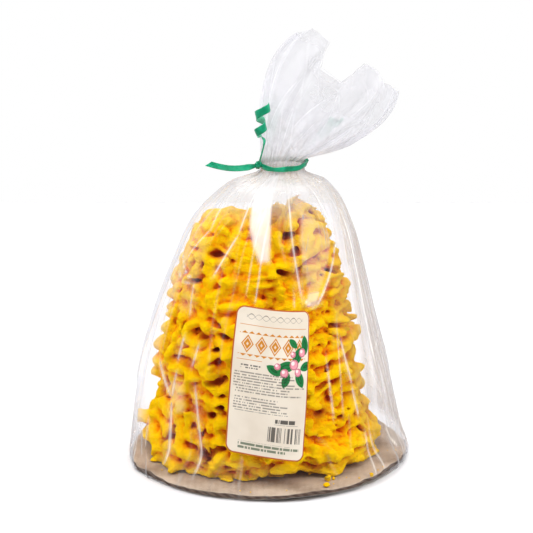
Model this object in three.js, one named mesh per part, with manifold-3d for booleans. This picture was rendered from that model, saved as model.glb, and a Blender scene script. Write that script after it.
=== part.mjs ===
// A tree cake (spit cake) as it is sold: the branched cake stands on a round of brown card inside a
// clear bag, which is gathered and tied above it with a green curling ribbon. A paper label is stuck
// on the front of the bag.
//
// Millimetres, +Z up. The origin is the middle of the card's underside, and the front, with the
// label, looks towards -Y. Turns are measured from the front (-Y) towards the right (+X).
import * as THREE from "three";
import Module from "manifold-3d";

const wasm = await Module();
wasm.setup();

const DEGREE = Math.PI / 180;
const FULL_TURN = 2 * Math.PI;
const UP = new THREE.Vector3(0, 0, 1);

// ---------------------------------------------------------------- driving dimensions
const CLEARANCE = 0.4; // between pieces that touch

const card = { radius: 98, thickness: 3.8, flatRadius: 74, edgeLift: 3.2, edgeWobble: 1.3, steps: 64 };

// The film seen from the front: how far it reaches left and right of x = 0 at each height.
const filmHeights = [0, 52, 101, 140, 171, 190, 203, 209];
const filmLeft = interpolate(filmHeights, [98, 93, 81, 66.5, 52, 34.5, 17, 8]);
const filmRight = interpolate(filmHeights, [98, 89.5, 77.5, 68, 59, 48.5, 35, 25]);
// The film seen from above is a rounded polygon, whose faces lie at these shares of its radius. The label
// lies on the first face, which stands steeper than the others.
const filmFaces = [
  { turn: -22, reach: 0.825, reachAbove: 0.955 },
  { turn: 22, reach: 0.97, reachAbove: 1.08 },
  { turn: 60, reach: 0.94 },
  { turn: 100, reach: 0.975 },
  { turn: 145, reach: 0.95 },
  { turn: 190, reach: 0.93 },
  { turn: 235, reach: 0.95 },
  { turn: 280, reach: 0.975 },
];
const film = {
  steps: 56,
  cornerSharpness: 16,
  rowHeights: [13, 23, 34, 55, 77, 98, 118, 137, 154, 169, 182, 192.5, 200.5],
  wall: 1.8,
  roundBelow: 2,
  facetedAbove: 26,
  steepFrom: 20,
  steepTo: 140,
  pleatsFrom: 138,
  pleatDepth: 1.6,
};

const neck = { x: 10, halfWidth: 15.2, halfDepth: 12.5, bottom: 207, top: 213.2, pleatDepth: 0.7 };

// The gathered top of the bag opens to the right like a fan. Each line of the film runs from the neck
// past a bend to the mouth, and the lists go from the left edge of the fan to its right edge.
const fan = {
  rows: 7,
  leftBend: [-9, 282],
  rightBend: [85, 231],
  mouthAcross: [0, 0.2, 0.36, 0.52, 0.72, 0.86, 1],
  mouthX: [25, 42.5, 36, 50, 68, 78, 88],
  mouthZ: [304, 295, 277.5, 268, 281, 265.5, 260],
  halfDepth: 17,
  mouthHalfDepth: 9,
  pleatDepth: 2.2,
  foldUp: 0.9,
  foldInset: 0.05,
  foldDepth: 0.3,
};

const cake = {
  axisX: -4,
  foot: 4.9,
  rings: 16,
  firstRing: 10,
  pitch: 10.9,
  coreSteps: 30,
  holeRadius: 24,
  holeSteps: 20,
  sideLean: 3,
  footNarrowing: 11,
  crownHeight: 181,
  crownRadius: 32,
  crownSlope: 5,
};
const branch = {
  spacing: 13,
  thickness: 5.4,
  tipThickness: 4.3,
  shortest: -6.5,
  longest: 1.5,
  extraLength: 5.5,
  extraShare: 0.14,
  shallowNotch: 7,
  deepNotch: 10,
  lift: 2.5,
  liftNearTop: 1.2,
  aboveCard: 1.7,
  inFromFilm: 1.5,
};
// How far the tips of the branches reach from the cake's axis at each height.
const cakeReach = interpolate(
  [5, 16, 30, 46, 62, 82, 107, 130, 148, 168, 190],
  [84, 87, 79, 73.5, 72, 70, 66, 61.5, 56, 47, 36],
);
// The broken top edge at each turn, in degrees: two horns stand over a dip at the front.
const crownByDegrees = interpolate(
  [-180, -130, -90, -55, -28, 2, 14, 34, 54, 78, 110, 150, 180],
  [173, 173, 176, 178, 184, 174, 173, 185, 194, 185, 176, 173, 173],
);
const crownTop = 194;

const label = {
  width: 57,
  height: 101,
  corner: 6,
  thickness: 0.5,
  standOff: 1.1,
  middle: [2.8, -78, 77.4],
  turn: -22,
  lean: 6,
  tilt: 2.6,
  columns: 6,
  rows: 12,
};

const ribbon = {
  width: 4.6,
  bandWidth: 3.6,
  bandSteps: 40,
  leadWidth: 1.4,
  thickness: 0.8,
  knotRadius: 2.5,
  frontKnotTurn: -66,
  backKnotTurn: 125,
  frontCurl: { foot: [-4.6, -16, 231], top: [-2.6, -16, 257] },
  backCurl: { foot: [34, 25, 222], top: [50, 27, 237] },
  curlRadius: 3.4,
  curlTurns: 2.4,
  curlSteps: 10,
  curlApproach: 5,
  tail: { length: 29, sag: 1.2, bow: 2.5, steps: 7 },
};

// ---------------------------------------------------------------- helpers
function interpolate(positions, values) {
  const [xs, ys, result] = [positions, values, [0]].map((list) => new Float32Array(list));
  const curve = new THREE.CubicInterpolant(xs, ys, 1, result);
  const [first, last] = [positions[0], positions[positions.length - 1]];
  return (position) => curve.evaluate(THREE.MathUtils.clamp(position, first, last))[0];
}

// A repeatable number from 0 to 1 for each whole number.
function chance(seed) {
  const value = Math.sin(seed * 12.9898) * 43758.5453;
  return value - Math.floor(value);
}

function between(low, high, seed) {
  return low + (high - low) * chance(seed);
}

// A point at a turn and a radius about a vertical axis, with the turn kept for stitching.
function around(axisX, turn, radius, z) {
  const point = new THREE.Vector3(axisX + radius * Math.sin(turn), -radius * Math.cos(turn), z);
  point.turn = turn;
  return point;
}

function loopOf(steps, pointAt) {
  return Array.from({ length: steps }, (_, i) => pointAt((FULL_TURN * i) / steps, i));
}

// Triangles between two closed loops of any number of points, both in order of turn. Each takes the
// shorter of the two next edges, as long as neither loop runs ahead of the other.
function stitch(lower, upper, startLower, startUpper, triangles) {
  const farthestAhead = 0.12;
  const on = (loop, i) => loop[i % loop.length];
  const turnOf = (loop, i) => on(loop, i).turn + FULL_TURN * Math.floor(i / loop.length);
  let [i, j] = [0, 0];
  while (i < lower.length || j < upper.length) {
    const lead = turnOf(lower, i + 1) - turnOf(upper, j + 1);
    const shorter = on(lower, i + 1).distanceTo(on(upper, j)) < on(upper, j + 1).distanceTo(on(lower, i));
    const preferred = Math.abs(lead) > farthestAhead ? lead < 0 : shorter;
    const stepLower = j >= upper.length || (i < lower.length && preferred);
    const [a, b] = [startLower + (i % lower.length), startUpper + (j % upper.length)];
    if (stepLower) {
      triangles.push(a, startLower + ((i + 1) % lower.length), b);
      i += 1;
    } else {
      triangles.push(a, startUpper + ((j + 1) % upper.length), b);
      j += 1;
    }
  }
}

// A fan of triangles that closes a loop at one point.
function close(loop, start, pole, facesUp, triangles) {
  loop.forEach((_, i) => {
    const [a, b] = [start + i, start + ((i + 1) % loop.length)];
    triangles.push(...(facesUp ? [a, b, pole] : [b, a, pole]));
  });
}

// Triangles that close a flat loop by joining its front points to the back points across from them. The
// loop starts at its foremost point.
function closeAcross(loop, start, triangles) {
  const quarter = loop.length / 4;
  const front = (i) => start + ((i + loop.length) % loop.length);
  const back = (i) => front(loop.length / 2 - i);
  for (let i = -quarter; i < quarter; i += 1) {
    if (i > -quarter) triangles.push(front(i), front(i + 1), back(i));
    if (i < quarter - 1) triangles.push(front(i + 1), back(i + 1), back(i));
  }
}

// One closed skin through loops that are listed in order up the outside. A list that closes on itself
// is a ring. Otherwise it starts with a single point, and ends with another or with a flat loop.
function skin(loops, closesOnItself = false) {
  const points = loops.flat();
  const starts = loops.map((_, i) => loops.slice(0, i).reduce((sum, loop) => sum + loop.length, 0));
  const triangles = [];
  const last = loops.length - 1;
  for (let i = 0; i < last; i += 1) {
    if (loops[i].length === 1) close(loops[i + 1], starts[i + 1], starts[i], false, triangles);
    else if (loops[i + 1].length === 1) close(loops[i], starts[i], starts[i + 1], true, triangles);
    else stitch(loops[i], loops[i + 1], starts[i], starts[i + 1], triangles);
  }
  if (closesOnItself) stitch(loops[last], loops[0], starts[last], starts[0], triangles);
  else if (loops[last].length > 1) closeAcross(loops[last], starts[last], triangles);
  return indexed(points, triangles);
}

function indexed(points, triangles) {
  const geometry = new THREE.BufferGeometry().setFromPoints(points);
  geometry.setIndex(triangles);
  return geometry;
}

function solid(geometry) {
  return new wasm.Manifold(
    new wasm.Mesh({
      numProp: 3,
      vertProperties: geometry.getAttribute("position").array,
      triVerts: new Uint32Array(geometry.index.array),
    }),
  );
}

function geometryOf(manifold) {
  const mesh = manifold.getMesh();
  return new THREE.BufferGeometry()
    .setAttribute("position", new THREE.BufferAttribute(mesh.vertProperties, 3))
    .setIndex(new THREE.BufferAttribute(mesh.triVerts, 1));
}

function named(name, geometry, material) {
  const flat = geometry.toNonIndexed();
  flat.computeVertexNormals();
  const mesh = new THREE.Mesh(flat, material);
  mesh.name = name;
  return mesh;
}

// ---------------------------------------------------------------- card round
// The rim of the card is bent up in places, most at the right front.
function cardLift(turn) {
  const slow = 0.3 * Math.sin(turn - 0.1) + 0.2 * Math.sin(3 * turn + 0.6);
  const waves = 0.5 + slow + 0.12 * Math.sin(7 * turn);
  return card.edgeLift * THREE.MathUtils.clamp(waves, 0, 1);
}

function cardRadius(turn) {
  const wobble = 0.6 * Math.sin(5 * turn + 0.8) + 0.4 * Math.sin(9 * turn) - 1;
  return card.radius + card.edgeWobble * wobble;
}

// The height of the card's upper face at a turn and a distance from its middle.
function cardTop(turn, radius) {
  const outside = THREE.MathUtils.clamp((radius - card.flatRadius) / (card.radius - card.flatRadius), 0, 1);
  return card.thickness + cardLift(turn) * outside;
}

function cardRound() {
  const ring = (radiusAt, zAt) => loopOf(card.steps, (turn) => around(0, turn, radiusAt(turn), zAt(turn)));
  const middle = (z) => [around(0, 0, 0, z)];
  return skin([
    middle(0),
    ring(() => card.flatRadius, () => 0),
    ring(cardRadius, cardLift),
    ring(cardRadius, (turn) => cardLift(turn) + card.thickness),
    ring(() => card.flatRadius, () => card.thickness),
    middle(card.thickness),
  ]);
}

// ---------------------------------------------------------------- film of the bag
function polygonRadius(turn, z) {
  const upTheFace = THREE.MathUtils.smoothstep(z, film.steepFrom, film.steepTo);
  const sum = filmFaces.reduce((total, face) => {
    const reach = THREE.MathUtils.lerp(face.reach, face.reachAbove ?? face.reach, upTheFace);
    const facing = Math.max(0, Math.cos(turn - face.turn * DEGREE)) / reach;
    return total + facing ** film.cornerSharpness;
  }, 0);
  return sum ** (-1 / film.cornerSharpness);
}

const filmCentre = (z) => (filmRight(z) - filmLeft(z)) / 2;

// The film's distance from its own centre at a turn and a height, without pleats.
function filmRadius(turn, z) {
  const halfWidth = (filmRight(z) + filmLeft(z)) / 2;
  const faceted = THREE.MathUtils.smoothstep(z, film.roundBelow, film.facetedAbove);
  return halfWidth * THREE.MathUtils.lerp(1, polygonRadius(turn, z), faceted);
}

// Moves a point of the contents inwards where it would come closer than gap to the film's inside.
function keptInside(point, gap) {
  const centre = filmCentre(point.z);
  const distance = Math.hypot(point.x - centre, point.y);
  const turn = Math.atan2(point.x - centre, -point.y);
  const room = filmRadius(turn, point.z) - film.wall - film.pleatDepth * pleating(point.z) - gap;
  const share = Math.min(1, room / Math.max(distance, 1));
  point.x = centre + (point.x - centre) * share;
  point.y *= share;
  return point;
}

const fanMouthX = interpolate(fan.mouthAcross, fan.mouthX);
const fanMouthZ = interpolate(fan.mouthAcross, fan.mouthZ);

// A point of the fan: up is 0 at the neck and 1 at the mouth. A share of inset moves it in from the two
// edges and towards the fan's middle sheet.
function fanPoint(turn, i, up, inset = 0) {
  const side = (1 - 2 * inset) * Math.sin(turn);
  const across = (1 + side) / 2;
  const start = new THREE.Vector2(neck.x + neck.halfWidth * side, neck.top);
  const bend = new THREE.Vector2(...fan.leftBend).lerp(new THREE.Vector2(...fan.rightBend), across);
  const end = new THREE.Vector2(fanMouthX(across), fanMouthZ(across));
  const line = new THREE.QuadraticBezierCurve(start, bend, end).getPoint(up);
  const swell = (fan.halfDepth - neck.halfDepth) * Math.sin(Math.PI * up);
  const halfDepth = THREE.MathUtils.lerp(neck.halfDepth, fan.mouthHalfDepth, up) + swell;
  const pleat = fan.pleatDepth * Math.sin(Math.PI * Math.min(1, up + 0.15)) * (i % 2 ? -1 : 1);
  const depth = (halfDepth + pleat) * (inset ? fan.foldDepth : 1);
  const point = new THREE.Vector3(line.x, -Math.cos(turn) * depth, line.y);
  point.turn = turn;
  return point;
}

function neckLoop(z) {
  return loopOf(film.steps, (turn, i) => {
    const pleat = i % 2 ? -neck.pleatDepth : 0;
    const point = around(neck.x, turn, 1, z);
    point.x = neck.x + (neck.halfWidth + pleat) * Math.sin(turn);
    point.y = -(neck.halfDepth + pleat) * Math.cos(turn);
    return point;
  });
}

// The pleats of the film deepen from nothing towards the tie.
const pleating = (z) => THREE.MathUtils.smoothstep(z, film.pleatsFrom, neck.bottom);

// The foot of the film follows the bent rim of the card.
function liftedByCard(turn, z) {
  return cardLift(turn) * (1 - THREE.MathUtils.smoothstep(z, card.thickness, film.facetedAbove));
}

function bodyLoop(z) {
  return loopOf(film.steps, (turn, i) => {
    const pleat = film.pleatDepth * pleating(z) * (i % 2 ? -1 : 1);
    return around(filmCentre(z), turn, filmRadius(turn, z) + pleat, z + liftedByCard(turn, z));
  });
}

// The space for the cake, open over the card: it keeps a wall inside the film and is no wider than the
// longest branches need.
function cavityLoops(heights) {
  const cavityRoom = 5.5;
  return heights.map((z) =>
    loopOf(film.steps, (turn) => {
      const aside = cake.axisX - filmCentre(z);
      const reach = cakeReach(z) + branch.extraLength + cavityRoom;
      const needed = aside * Math.sin(turn) + Math.sqrt(reach ** 2 - (aside * Math.cos(turn)) ** 2);
      const radius = Math.min(filmRadius(turn, z) - film.wall - film.pleatDepth * pleating(z), needed);
      return around(filmCentre(z), turn, radius, z + liftedByCard(turn, z));
    }),
  );
}

function bag() {
  const heights = [card.thickness + CLEARANCE, ...film.rowHeights];
  const body = heights.map(bodyLoop);
  const fanLoops = Array.from({ length: fan.rows }, (_, row) =>
    loopOf(film.steps, (turn, i) => fanPoint(turn, i, (row + 1) / fan.rows)),
  );
  const fold = loopOf(film.steps, (turn, i) => fanPoint(turn, i, fan.foldUp, fan.foldInset));
  const cavityTop = crownTop + 2.5;
  const cavity = cavityLoops([...heights.filter((z) => z < crownTop - 5), cavityTop]);
  return skin([
    [around(cake.axisX, 0, 0, cavityTop + 1.5)],
    ...cavity.reverse(),
    ...body,
    neckLoop(neck.bottom),
    neckLoop(neck.top),
    ...fanLoops,
    fold,
  ]);
}

// ---------------------------------------------------------------- cake
function crownHeight(turn) {
  return crownByDegrees(((turn / DEGREE + 540) % 360) - 180);
}

// The rings below the broken edge follow it more and more closely.
function crownShift(turn, z) {
  const closeness = Math.min(1, z / cake.crownHeight) ** 4;
  return (crownHeight(turn) - cake.crownHeight) * closeness;
}

// The rings of batter wander up and down together as they go round.
function ringWave(turn, z) {
  const wave = 2.8 * Math.sin(3 * turn + 0.035 * z) + 2 * Math.sin(7 * turn - 0.04 * z + 1);
  return wave + crownShift(turn, z);
}

// The cake leans out on the left at half height, and its foot spreads less to the front and back.
function bulge(turn, z) {
  const up = THREE.MathUtils.clamp(z / cake.crownHeight, 0, 1);
  const leaning = -cake.sideLean * Math.sin(turn) * Math.sin(Math.PI * up);
  const nearFoot = 1 - THREE.MathUtils.smoothstep(z, 8, 46);
  return leaning - cake.footNarrowing * Math.cos(turn) ** 2 * nearFoot;
}

// The bottoms of the slits between the rings, which are deeper low on the cake.
function coreRadius(turn, z) {
  const slitDepth = THREE.MathUtils.lerp(23, 14, z / cake.crownHeight);
  return cakeReach(z) - slitDepth + bulge(turn, z) + 1.5 * Math.sin(5 * turn + 0.1 * z);
}

// A loop around the cake's axis.
function aroundCake(steps, radiusAt, zAt) {
  return loopOf(steps, (turn) => around(cake.axisX, turn, radiusAt(turn), zAt(turn)));
}

function coreLoop(z) {
  return aroundCake(cake.coreSteps, (turn) => coreRadius(turn, z), (turn) => z + ringWave(turn, z));
}

// A notch and the two corners of the blunt branch after it: where each stands in its share of the ring,
// how far out it is, and how high and thick.
function branchCorners(reach, ring, seed) {
  const extra = chance(seed + 2) < branch.extraShare ? branch.extraLength : 0;
  const tip = reach + between(branch.longest, branch.shortest, seed) + extra;
  const mostLift = ring < cake.rings - 4 ? branch.lift : branch.liftNearTop;
  const lift = between(-mostLift, mostLift, seed + 1);
  const notch = tip - between(branch.shallowNotch, branch.deepNotch, seed + 5);
  return [
    { share: 0, radius: notch, lift: 0, thickness: branch.thickness },
    { share: between(0.24, 0.4, seed + 6), radius: tip, lift, thickness: branch.tipThickness },
    {
      share: between(0.6, 0.74, seed + 8),
      radius: tip - between(0, 2, seed + 7),
      lift,
      thickness: branch.tipThickness,
    },
  ];
}

// The under and upper edges of one ring of branches.
function branchLoops(ring) {
  const z = cake.firstRing + ring * cake.pitch;
  const reach = cakeReach(z) + between(-1.5, 1.5, ring * 7 + 3);
  const count = Math.round((FULL_TURN * reach) / branch.spacing);
  const offset = chance(ring * 13 + 1);
  const edge = (side) => {
    return Array.from({ length: count }, (_, i) => i).flatMap((i) =>
      branchCorners(reach, ring, ring * 101 + i * 3).map((corner) => {
        const turn = (FULL_TURN * (i + offset + corner.share)) / count;
        const height = z + ringWave(turn, z) + corner.lift + (side * corner.thickness) / 2;
        const overCard = cardTop(turn, reach) + branch.aboveCard + (side > 0 ? branch.thickness / 2 : 0);
        const radius = corner.radius + bulge(turn, z) - (side > 0 ? 1 : 0);
        return keptInside(around(cake.axisX, turn, radius, Math.max(height, overCard)), branch.inFromFilm);
      }),
    );
  };
  return [edge(-1), edge(1)];
}

// Rings of branches with a loop of the core between each two, closed over the broken crown and down the
// hole in the middle.
function treeCake() {
  const rings = Array.from({ length: cake.rings }, (_, ring) => [
    ...(ring ? [coreLoop(cake.firstRing + (ring - 0.5) * cake.pitch)] : []),
    ...branchLoops(ring),
  ]);
  const hole = (zAt) => aroundCake(cake.holeSteps, () => cake.holeRadius, zAt);
  const loops = [
    aroundCake(cake.coreSteps, (turn) => coreRadius(turn, cake.foot) - 2, () => cake.foot),
    ...rings.flat(),
    aroundCake(cake.coreSteps, () => cake.crownRadius, crownHeight),
    hole((turn) => crownHeight(turn) - cake.crownSlope),
    hole(() => cake.foot),
  ];
  return skin(loops, true);
}

// ---------------------------------------------------------------- label
// A point of the label's sheet: across and up from its middle, laid on the film and stood off by gap.
function labelPoint(across, up, gap) {
  const outward = new THREE.Vector3(Math.sin(label.turn * DEGREE), -Math.cos(label.turn * DEGREE), 0);
  const right = new THREE.Vector3(-outward.y, outward.x, 0);
  const upward = UP.clone().applyAxisAngle(right, label.lean * DEGREE);
  const [cosine, sine] = [Math.cos(label.tilt * DEGREE), Math.sin(label.tilt * DEGREE)];
  const flat = new THREE.Vector3(...label.middle)
    .addScaledVector(right, across * cosine + up * sine)
    .addScaledVector(upward, up * cosine - across * sine);
  const turn = Math.atan2(flat.x - filmCentre(flat.z), -flat.y);
  const onFilm = around(filmCentre(flat.z), turn, filmRadius(turn, flat.z), flat.z);
  return onFilm.addScaledVector(outward, gap);
}

// The rows of the label's grid crowd towards its rounded corners.
function paperLabel() {
  const { width, height, corner, columns, rows } = label;
  const points = [];
  for (const gap of [label.standOff, label.standOff + label.thickness]) {
    for (let row = 0; row <= rows; row += 1) {
      const up = (height / 2) * Math.sin((row / rows - 0.5) * Math.PI);
      const intoCorner = Math.max(0, Math.abs(up) - (height / 2 - corner));
      const cut = corner - Math.sqrt(corner ** 2 - Math.min(intoCorner, corner - 0.1) ** 2);
      for (let column = 0; column <= columns; column += 1) {
        points.push(labelPoint((column / columns - 0.5) * (width - 2 * cut), up, gap));
      }
    }
  }
  return sheetSolid(points, columns, rows);
}

// A closed thin solid from two grids of points, the back one first.
function sheetSolid(points, columns, rows) {
  const width = columns + 1;
  const front = width * (rows + 1);
  const at = (row, column) => row * width + column;
  const triangles = [];
  const quad = (a, b, c, d) => triangles.push(a, b, c, a, c, d);
  for (let row = 0; row < rows; row += 1) {
    for (let column = 0; column < columns; column += 1) {
      const corners = [at(row, column), at(row, column + 1), at(row + 1, column + 1), at(row + 1, column)];
      quad(...corners.map((corner) => corner + front));
      quad(corners[0], corners[3], corners[2], corners[1]);
    }
  }
  for (let column = 0; column < columns; column += 1) {
    quad(at(0, column), at(0, column + 1), at(0, column + 1) + front, at(0, column) + front);
    quad(at(rows, column + 1), at(rows, column), at(rows, column) + front, at(rows, column + 1) + front);
  }
  for (let row = 0; row < rows; row += 1) {
    quad(at(row + 1, 0), at(row, 0), at(row, 0) + front, at(row + 1, 0) + front);
    quad(at(row, columns), at(row + 1, columns), at(row + 1, columns) + front, at(row, columns) + front);
  }
  return indexed(points, triangles);
}

// ---------------------------------------------------------------- ribbon
// A flat strip swept through stations of {at, across, width}: the middle of the strip, the way its width
// runs, and how wide it is there.
function strip(stations, closed = false) {
  const points = [];
  const triangles = [];
  const count = stations.length;
  stations.forEach(({ at, across, width }, i) => {
    const before = stations[closed ? (i + count - 1) % count : Math.max(0, i - 1)].at;
    const after = stations[closed ? (i + 1) % count : Math.min(count - 1, i + 1)].at;
    const along = new THREE.Vector3().subVectors(after, before).normalize();
    const wide = across.clone().addScaledVector(along, -across.dot(along)).normalize();
    const thick = new THREE.Vector3().crossVectors(along, wide);
    for (const [w, t] of [[-1, -1], [1, -1], [1, 1], [-1, 1]]) {
      const corner = at.clone().addScaledVector(wide, (w * width) / 2);
      points.push(corner.addScaledVector(thick, (t * ribbon.thickness) / 2));
    }
  });
  const spans = closed ? count : count - 1;
  for (let i = 0; i < spans; i += 1) {
    for (let side = 0; side < 4; side += 1) {
      const [a, b] = [4 * i + side, 4 * i + ((side + 1) % 4)];
      const [c, d] = [4 * ((i + 1) % count) + ((side + 1) % 4), 4 * ((i + 1) % count) + side];
      triangles.push(a, b, c, a, c, d);
    }
  }
  if (!closed) {
    const end = 4 * (count - 1);
    triangles.push(2, 1, 0, 3, 2, 0, end, end + 1, end + 2, end, end + 2, end + 3);
  }
  return indexed(points, triangles);
}

// A point beside the neck, at a turn and a distance from the film.
function besideNeck(turn, out) {
  const [x, y] = [(neck.halfWidth + out) * Math.sin(turn), -(neck.halfDepth + out) * Math.cos(turn)];
  return new THREE.Vector3(neck.x + x, y, (neck.bottom + neck.top) / 2);
}

function ribbonBand() {
  const out = CLEARANCE + 0.1 + ribbon.thickness / 2;
  const station = (turn) => ({ at: besideNeck(turn, out), across: UP, width: ribbon.bandWidth });
  return strip(loopOf(ribbon.bandSteps, station), true);
}

function knot(at) {
  const geometry = new THREE.SphereGeometry(ribbon.knotRadius, 10, 7).scale(1, 0.9, 1.1);
  geometry.translate(at.x, at.y, at.z);
  geometry.deleteAttribute("normal").deleteAttribute("uv");
  return geometry;
}

// The short flat end that points left from its knot and narrows to a slanting cut.
function flatTail(start) {
  const { length, sag, bow, steps } = ribbon.tail;
  const stations = Array.from({ length: steps + 1 }, (_, i) => {
    const s = i / steps;
    const hang = sag * (s * s * 0.5 - Math.sin(Math.PI * s));
    const at = new THREE.Vector3(-length * s, -bow * Math.sin(Math.PI * s), hang).add(start);
    return { at, across: new THREE.Vector3(0, 0.35 * s, 1), width: ribbon.width * (s === 1 ? 0.25 : 1) };
  });
  return strip(stations);
}

// A tail drawn into a coil: it runs up from its knot, turns, and then winds round a line.
function curledTail(start, curl) {
  const foot = new THREE.Vector3(...curl.foot);
  const axis = new THREE.Vector3(...curl.top).sub(foot);
  const length = axis.length();
  axis.normalize();
  const side = new THREE.Vector3().crossVectors(axis, new THREE.Vector3(0, 1, 0)).normalize();
  const other = new THREE.Vector3().crossVectors(axis, side);
  const steps = Math.round(ribbon.curlTurns * ribbon.curlSteps);
  const onCoil = (s) => {
    const angle = FULL_TURN * (ribbon.curlTurns * s + 0.25);
    const grown = ribbon.curlRadius * (0.85 + 0.3 * s);
    return foot
      .clone()
      .addScaledVector(axis, length * s)
      .addScaledVector(side, grown * Math.cos(angle))
      .addScaledVector(other, grown * Math.sin(angle));
  };
  const coil = Array.from({ length: steps + 1 }, (_, i) => {
    const width = Math.min(ribbon.width, ribbon.leadWidth + 0.9 * i);
    return { at: onCoil(i / steps), across: axis, width };
  });
  const into = new THREE.Vector3().subVectors(coil[1].at, coil[0].at).normalize();
  const turning = coil[0].at.clone().addScaledVector(into, -ribbon.curlApproach);
  const bend = new THREE.QuadraticBezierCurve3(start, turning, coil[0].at);
  const sideways = new THREE.Vector3().subVectors(foot, start).cross(UP).normalize();
  const lead = [0, 0.25, 0.5, 0.7, 0.85].map((s) => {
    return { at: bend.getPoint(s), across: sideways.clone().lerp(axis, s), width: ribbon.leadWidth };
  });
  return strip([...lead, ...coil]);
}

function ribbonTie() {
  const fromNeck = CLEARANCE + 0.2 + ribbon.knotRadius;
  const frontKnot = besideNeck(ribbon.frontKnotTurn * DEGREE, fromNeck);
  const backKnot = besideNeck(ribbon.backKnotTurn * DEGREE, fromNeck);
  const pieces = [
    ribbonBand(),
    knot(frontKnot),
    flatTail(frontKnot),
    curledTail(frontKnot, ribbon.frontCurl),
    knot(backKnot),
    curledTail(backKnot, ribbon.backCurl),
  ];
  return geometryOf(pieces.map(welded).map(solid).reduce((whole, piece) => whole.add(piece)));
}

// The sphere's seam and poles are doubled in its geometry, so equal points are made one.
function welded(geometry) {
  const positions = geometry.getAttribute("position");
  const found = new Map();
  const points = [];
  const index = Array.from(geometry.index.array, (i) => {
    const point = new THREE.Vector3().fromBufferAttribute(positions, i);
    const key = point.toArray().map((value) => value.toFixed(4)).join();
    if (!found.has(key)) {
      found.set(key, points.length);
      points.push(point);
    }
    return found.get(key);
  });
  const triangles = [];
  for (let i = 0; i < index.length; i += 3) {
    const [a, b, c] = index.slice(i, i + 3);
    if (a !== b && b !== c && c !== a) triangles.push(a, b, c);
  }
  return indexed(points, triangles);
}

// ---------------------------------------------------------------- materials and the whole
function finish(color, roughness, opacity = 1) {
  const transparent = opacity < 1;
  return new THREE.MeshStandardMaterial({ color, roughness, metalness: 0, opacity, transparent });
}

const finishes = {
  card: finish(0xa98b72, 0.9),
  cake: finish(0xf7b500, 0.6),
  film: finish(0xf2f2f4, 0.12, 0.3),
  paper: finish(0xf3e6d2, 0.55),
  ribbon: finish(0x0e9c68, 0.35),
};

const packedCake = new THREE.Group();
packedCake.name = "tree_cake_in_bag";
packedCake.add(
  named("card", cardRound(), finishes.card),
  named("cake", treeCake(), finishes.cake),
  named("bag", bag(), finishes.film),
  named("label", paperLabel(), finishes.paper),
  named("ribbon", ribbonTie(), finishes.ribbon),
);

export default packedCake;
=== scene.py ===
# %% [markdown]
# # A tree cake in a tied clear bag
# A tree cake is baked on a turning spit: batter is ladled over it, runs outward and sets in rings of
# blunt branches. This one stands on a round board inside a film bag, which is gathered and tied above it,
# with a paper label on the film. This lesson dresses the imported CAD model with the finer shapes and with
# finishes. Everything is in the CAD's own frame, so a piece goes where its solid is.

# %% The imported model
import math

import bpy
import numpy as np
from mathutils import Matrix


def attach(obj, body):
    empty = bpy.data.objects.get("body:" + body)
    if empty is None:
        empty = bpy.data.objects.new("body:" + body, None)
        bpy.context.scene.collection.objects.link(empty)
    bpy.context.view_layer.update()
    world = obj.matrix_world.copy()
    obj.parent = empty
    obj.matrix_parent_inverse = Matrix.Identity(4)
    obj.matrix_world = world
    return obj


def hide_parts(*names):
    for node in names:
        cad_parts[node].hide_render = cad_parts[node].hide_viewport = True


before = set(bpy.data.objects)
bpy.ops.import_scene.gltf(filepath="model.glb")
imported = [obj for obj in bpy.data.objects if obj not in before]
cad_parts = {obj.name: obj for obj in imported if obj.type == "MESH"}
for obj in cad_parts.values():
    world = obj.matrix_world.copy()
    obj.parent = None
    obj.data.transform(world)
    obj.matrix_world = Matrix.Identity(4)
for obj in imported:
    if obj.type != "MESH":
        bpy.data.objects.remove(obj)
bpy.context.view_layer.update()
MM = 0.001

# %% [markdown]
# ## The camera
# The photograph looks slightly down on the cake from the front, from far enough away that upright lines
# stay almost parallel. A long lens from 1.5 m gives that. The angle was read from the round board, whose
# ellipse is a little over a quarter as deep as it is wide.

# %% Camera
PHOTO_PIXELS = 533
FOCAL_PIXELS = 2162
SENSOR = 36
CAMERA_DISTANCE = 1.5
LOOK_DOWN = math.radians(15.33)
AIM = (-1.04 * MM, 0, 136.6 * MM)

lens = bpy.data.cameras.new("camera")
lens.sensor_width = SENSOR
lens.lens = SENSOR * FOCAL_PIXELS / PHOTO_PIXELS
camera = bpy.data.objects.new("camera", lens)
away = CAMERA_DISTANCE * math.cos(LOOK_DOWN)
above = CAMERA_DISTANCE * math.sin(LOOK_DOWN)
camera.location = (AIM[0], AIM[1] - away, AIM[2] + above)
camera.rotation_euler = (math.pi / 2 - LOOK_DOWN, 0, 0)
bpy.context.scene.collection.objects.link(camera)
bpy.context.scene.camera = camera
print("lens in mm:", round(lens.lens, 1))

# %% [markdown]
# ## Numbers for shapes
# Hand-made food and crumpled film are uneven but not random: they follow a few slow curves with small
# changes on top. Four helpers give that. One draws a smooth curve through chosen heights, one eases
# between two values, one gives the same repeatable chance for the same seed, and one adds sine waves in
# many directions into a soft lumpy field.

# %% Curves, chance and lumps
def curve(places, values):
    """A smooth curve through values at the given places, flat at both ends."""
    places = np.array(places, float)
    values = np.array(values, float)
    slopes = np.diff(values) / np.diff(places)
    tangents = np.concatenate([[0], (slopes[:-1] + slopes[1:]) / 2, [0]])

    def at(place):
        place = np.clip(place, places[0], places[-1])
        span = np.clip(np.searchsorted(places, place, side="right") - 1, 0, len(slopes) - 1)
        length = places[span + 1] - places[span]
        s = (place - places[span]) / length
        start = (1 + 2 * s) * (1 - s) ** 2 * values[span] + s * (1 - s) ** 2 * length * tangents[span]
        end = s * s * (3 - 2 * s) * values[span + 1] - s * s * (1 - s) * length * tangents[span + 1]
        return start + end

    return at


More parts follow.
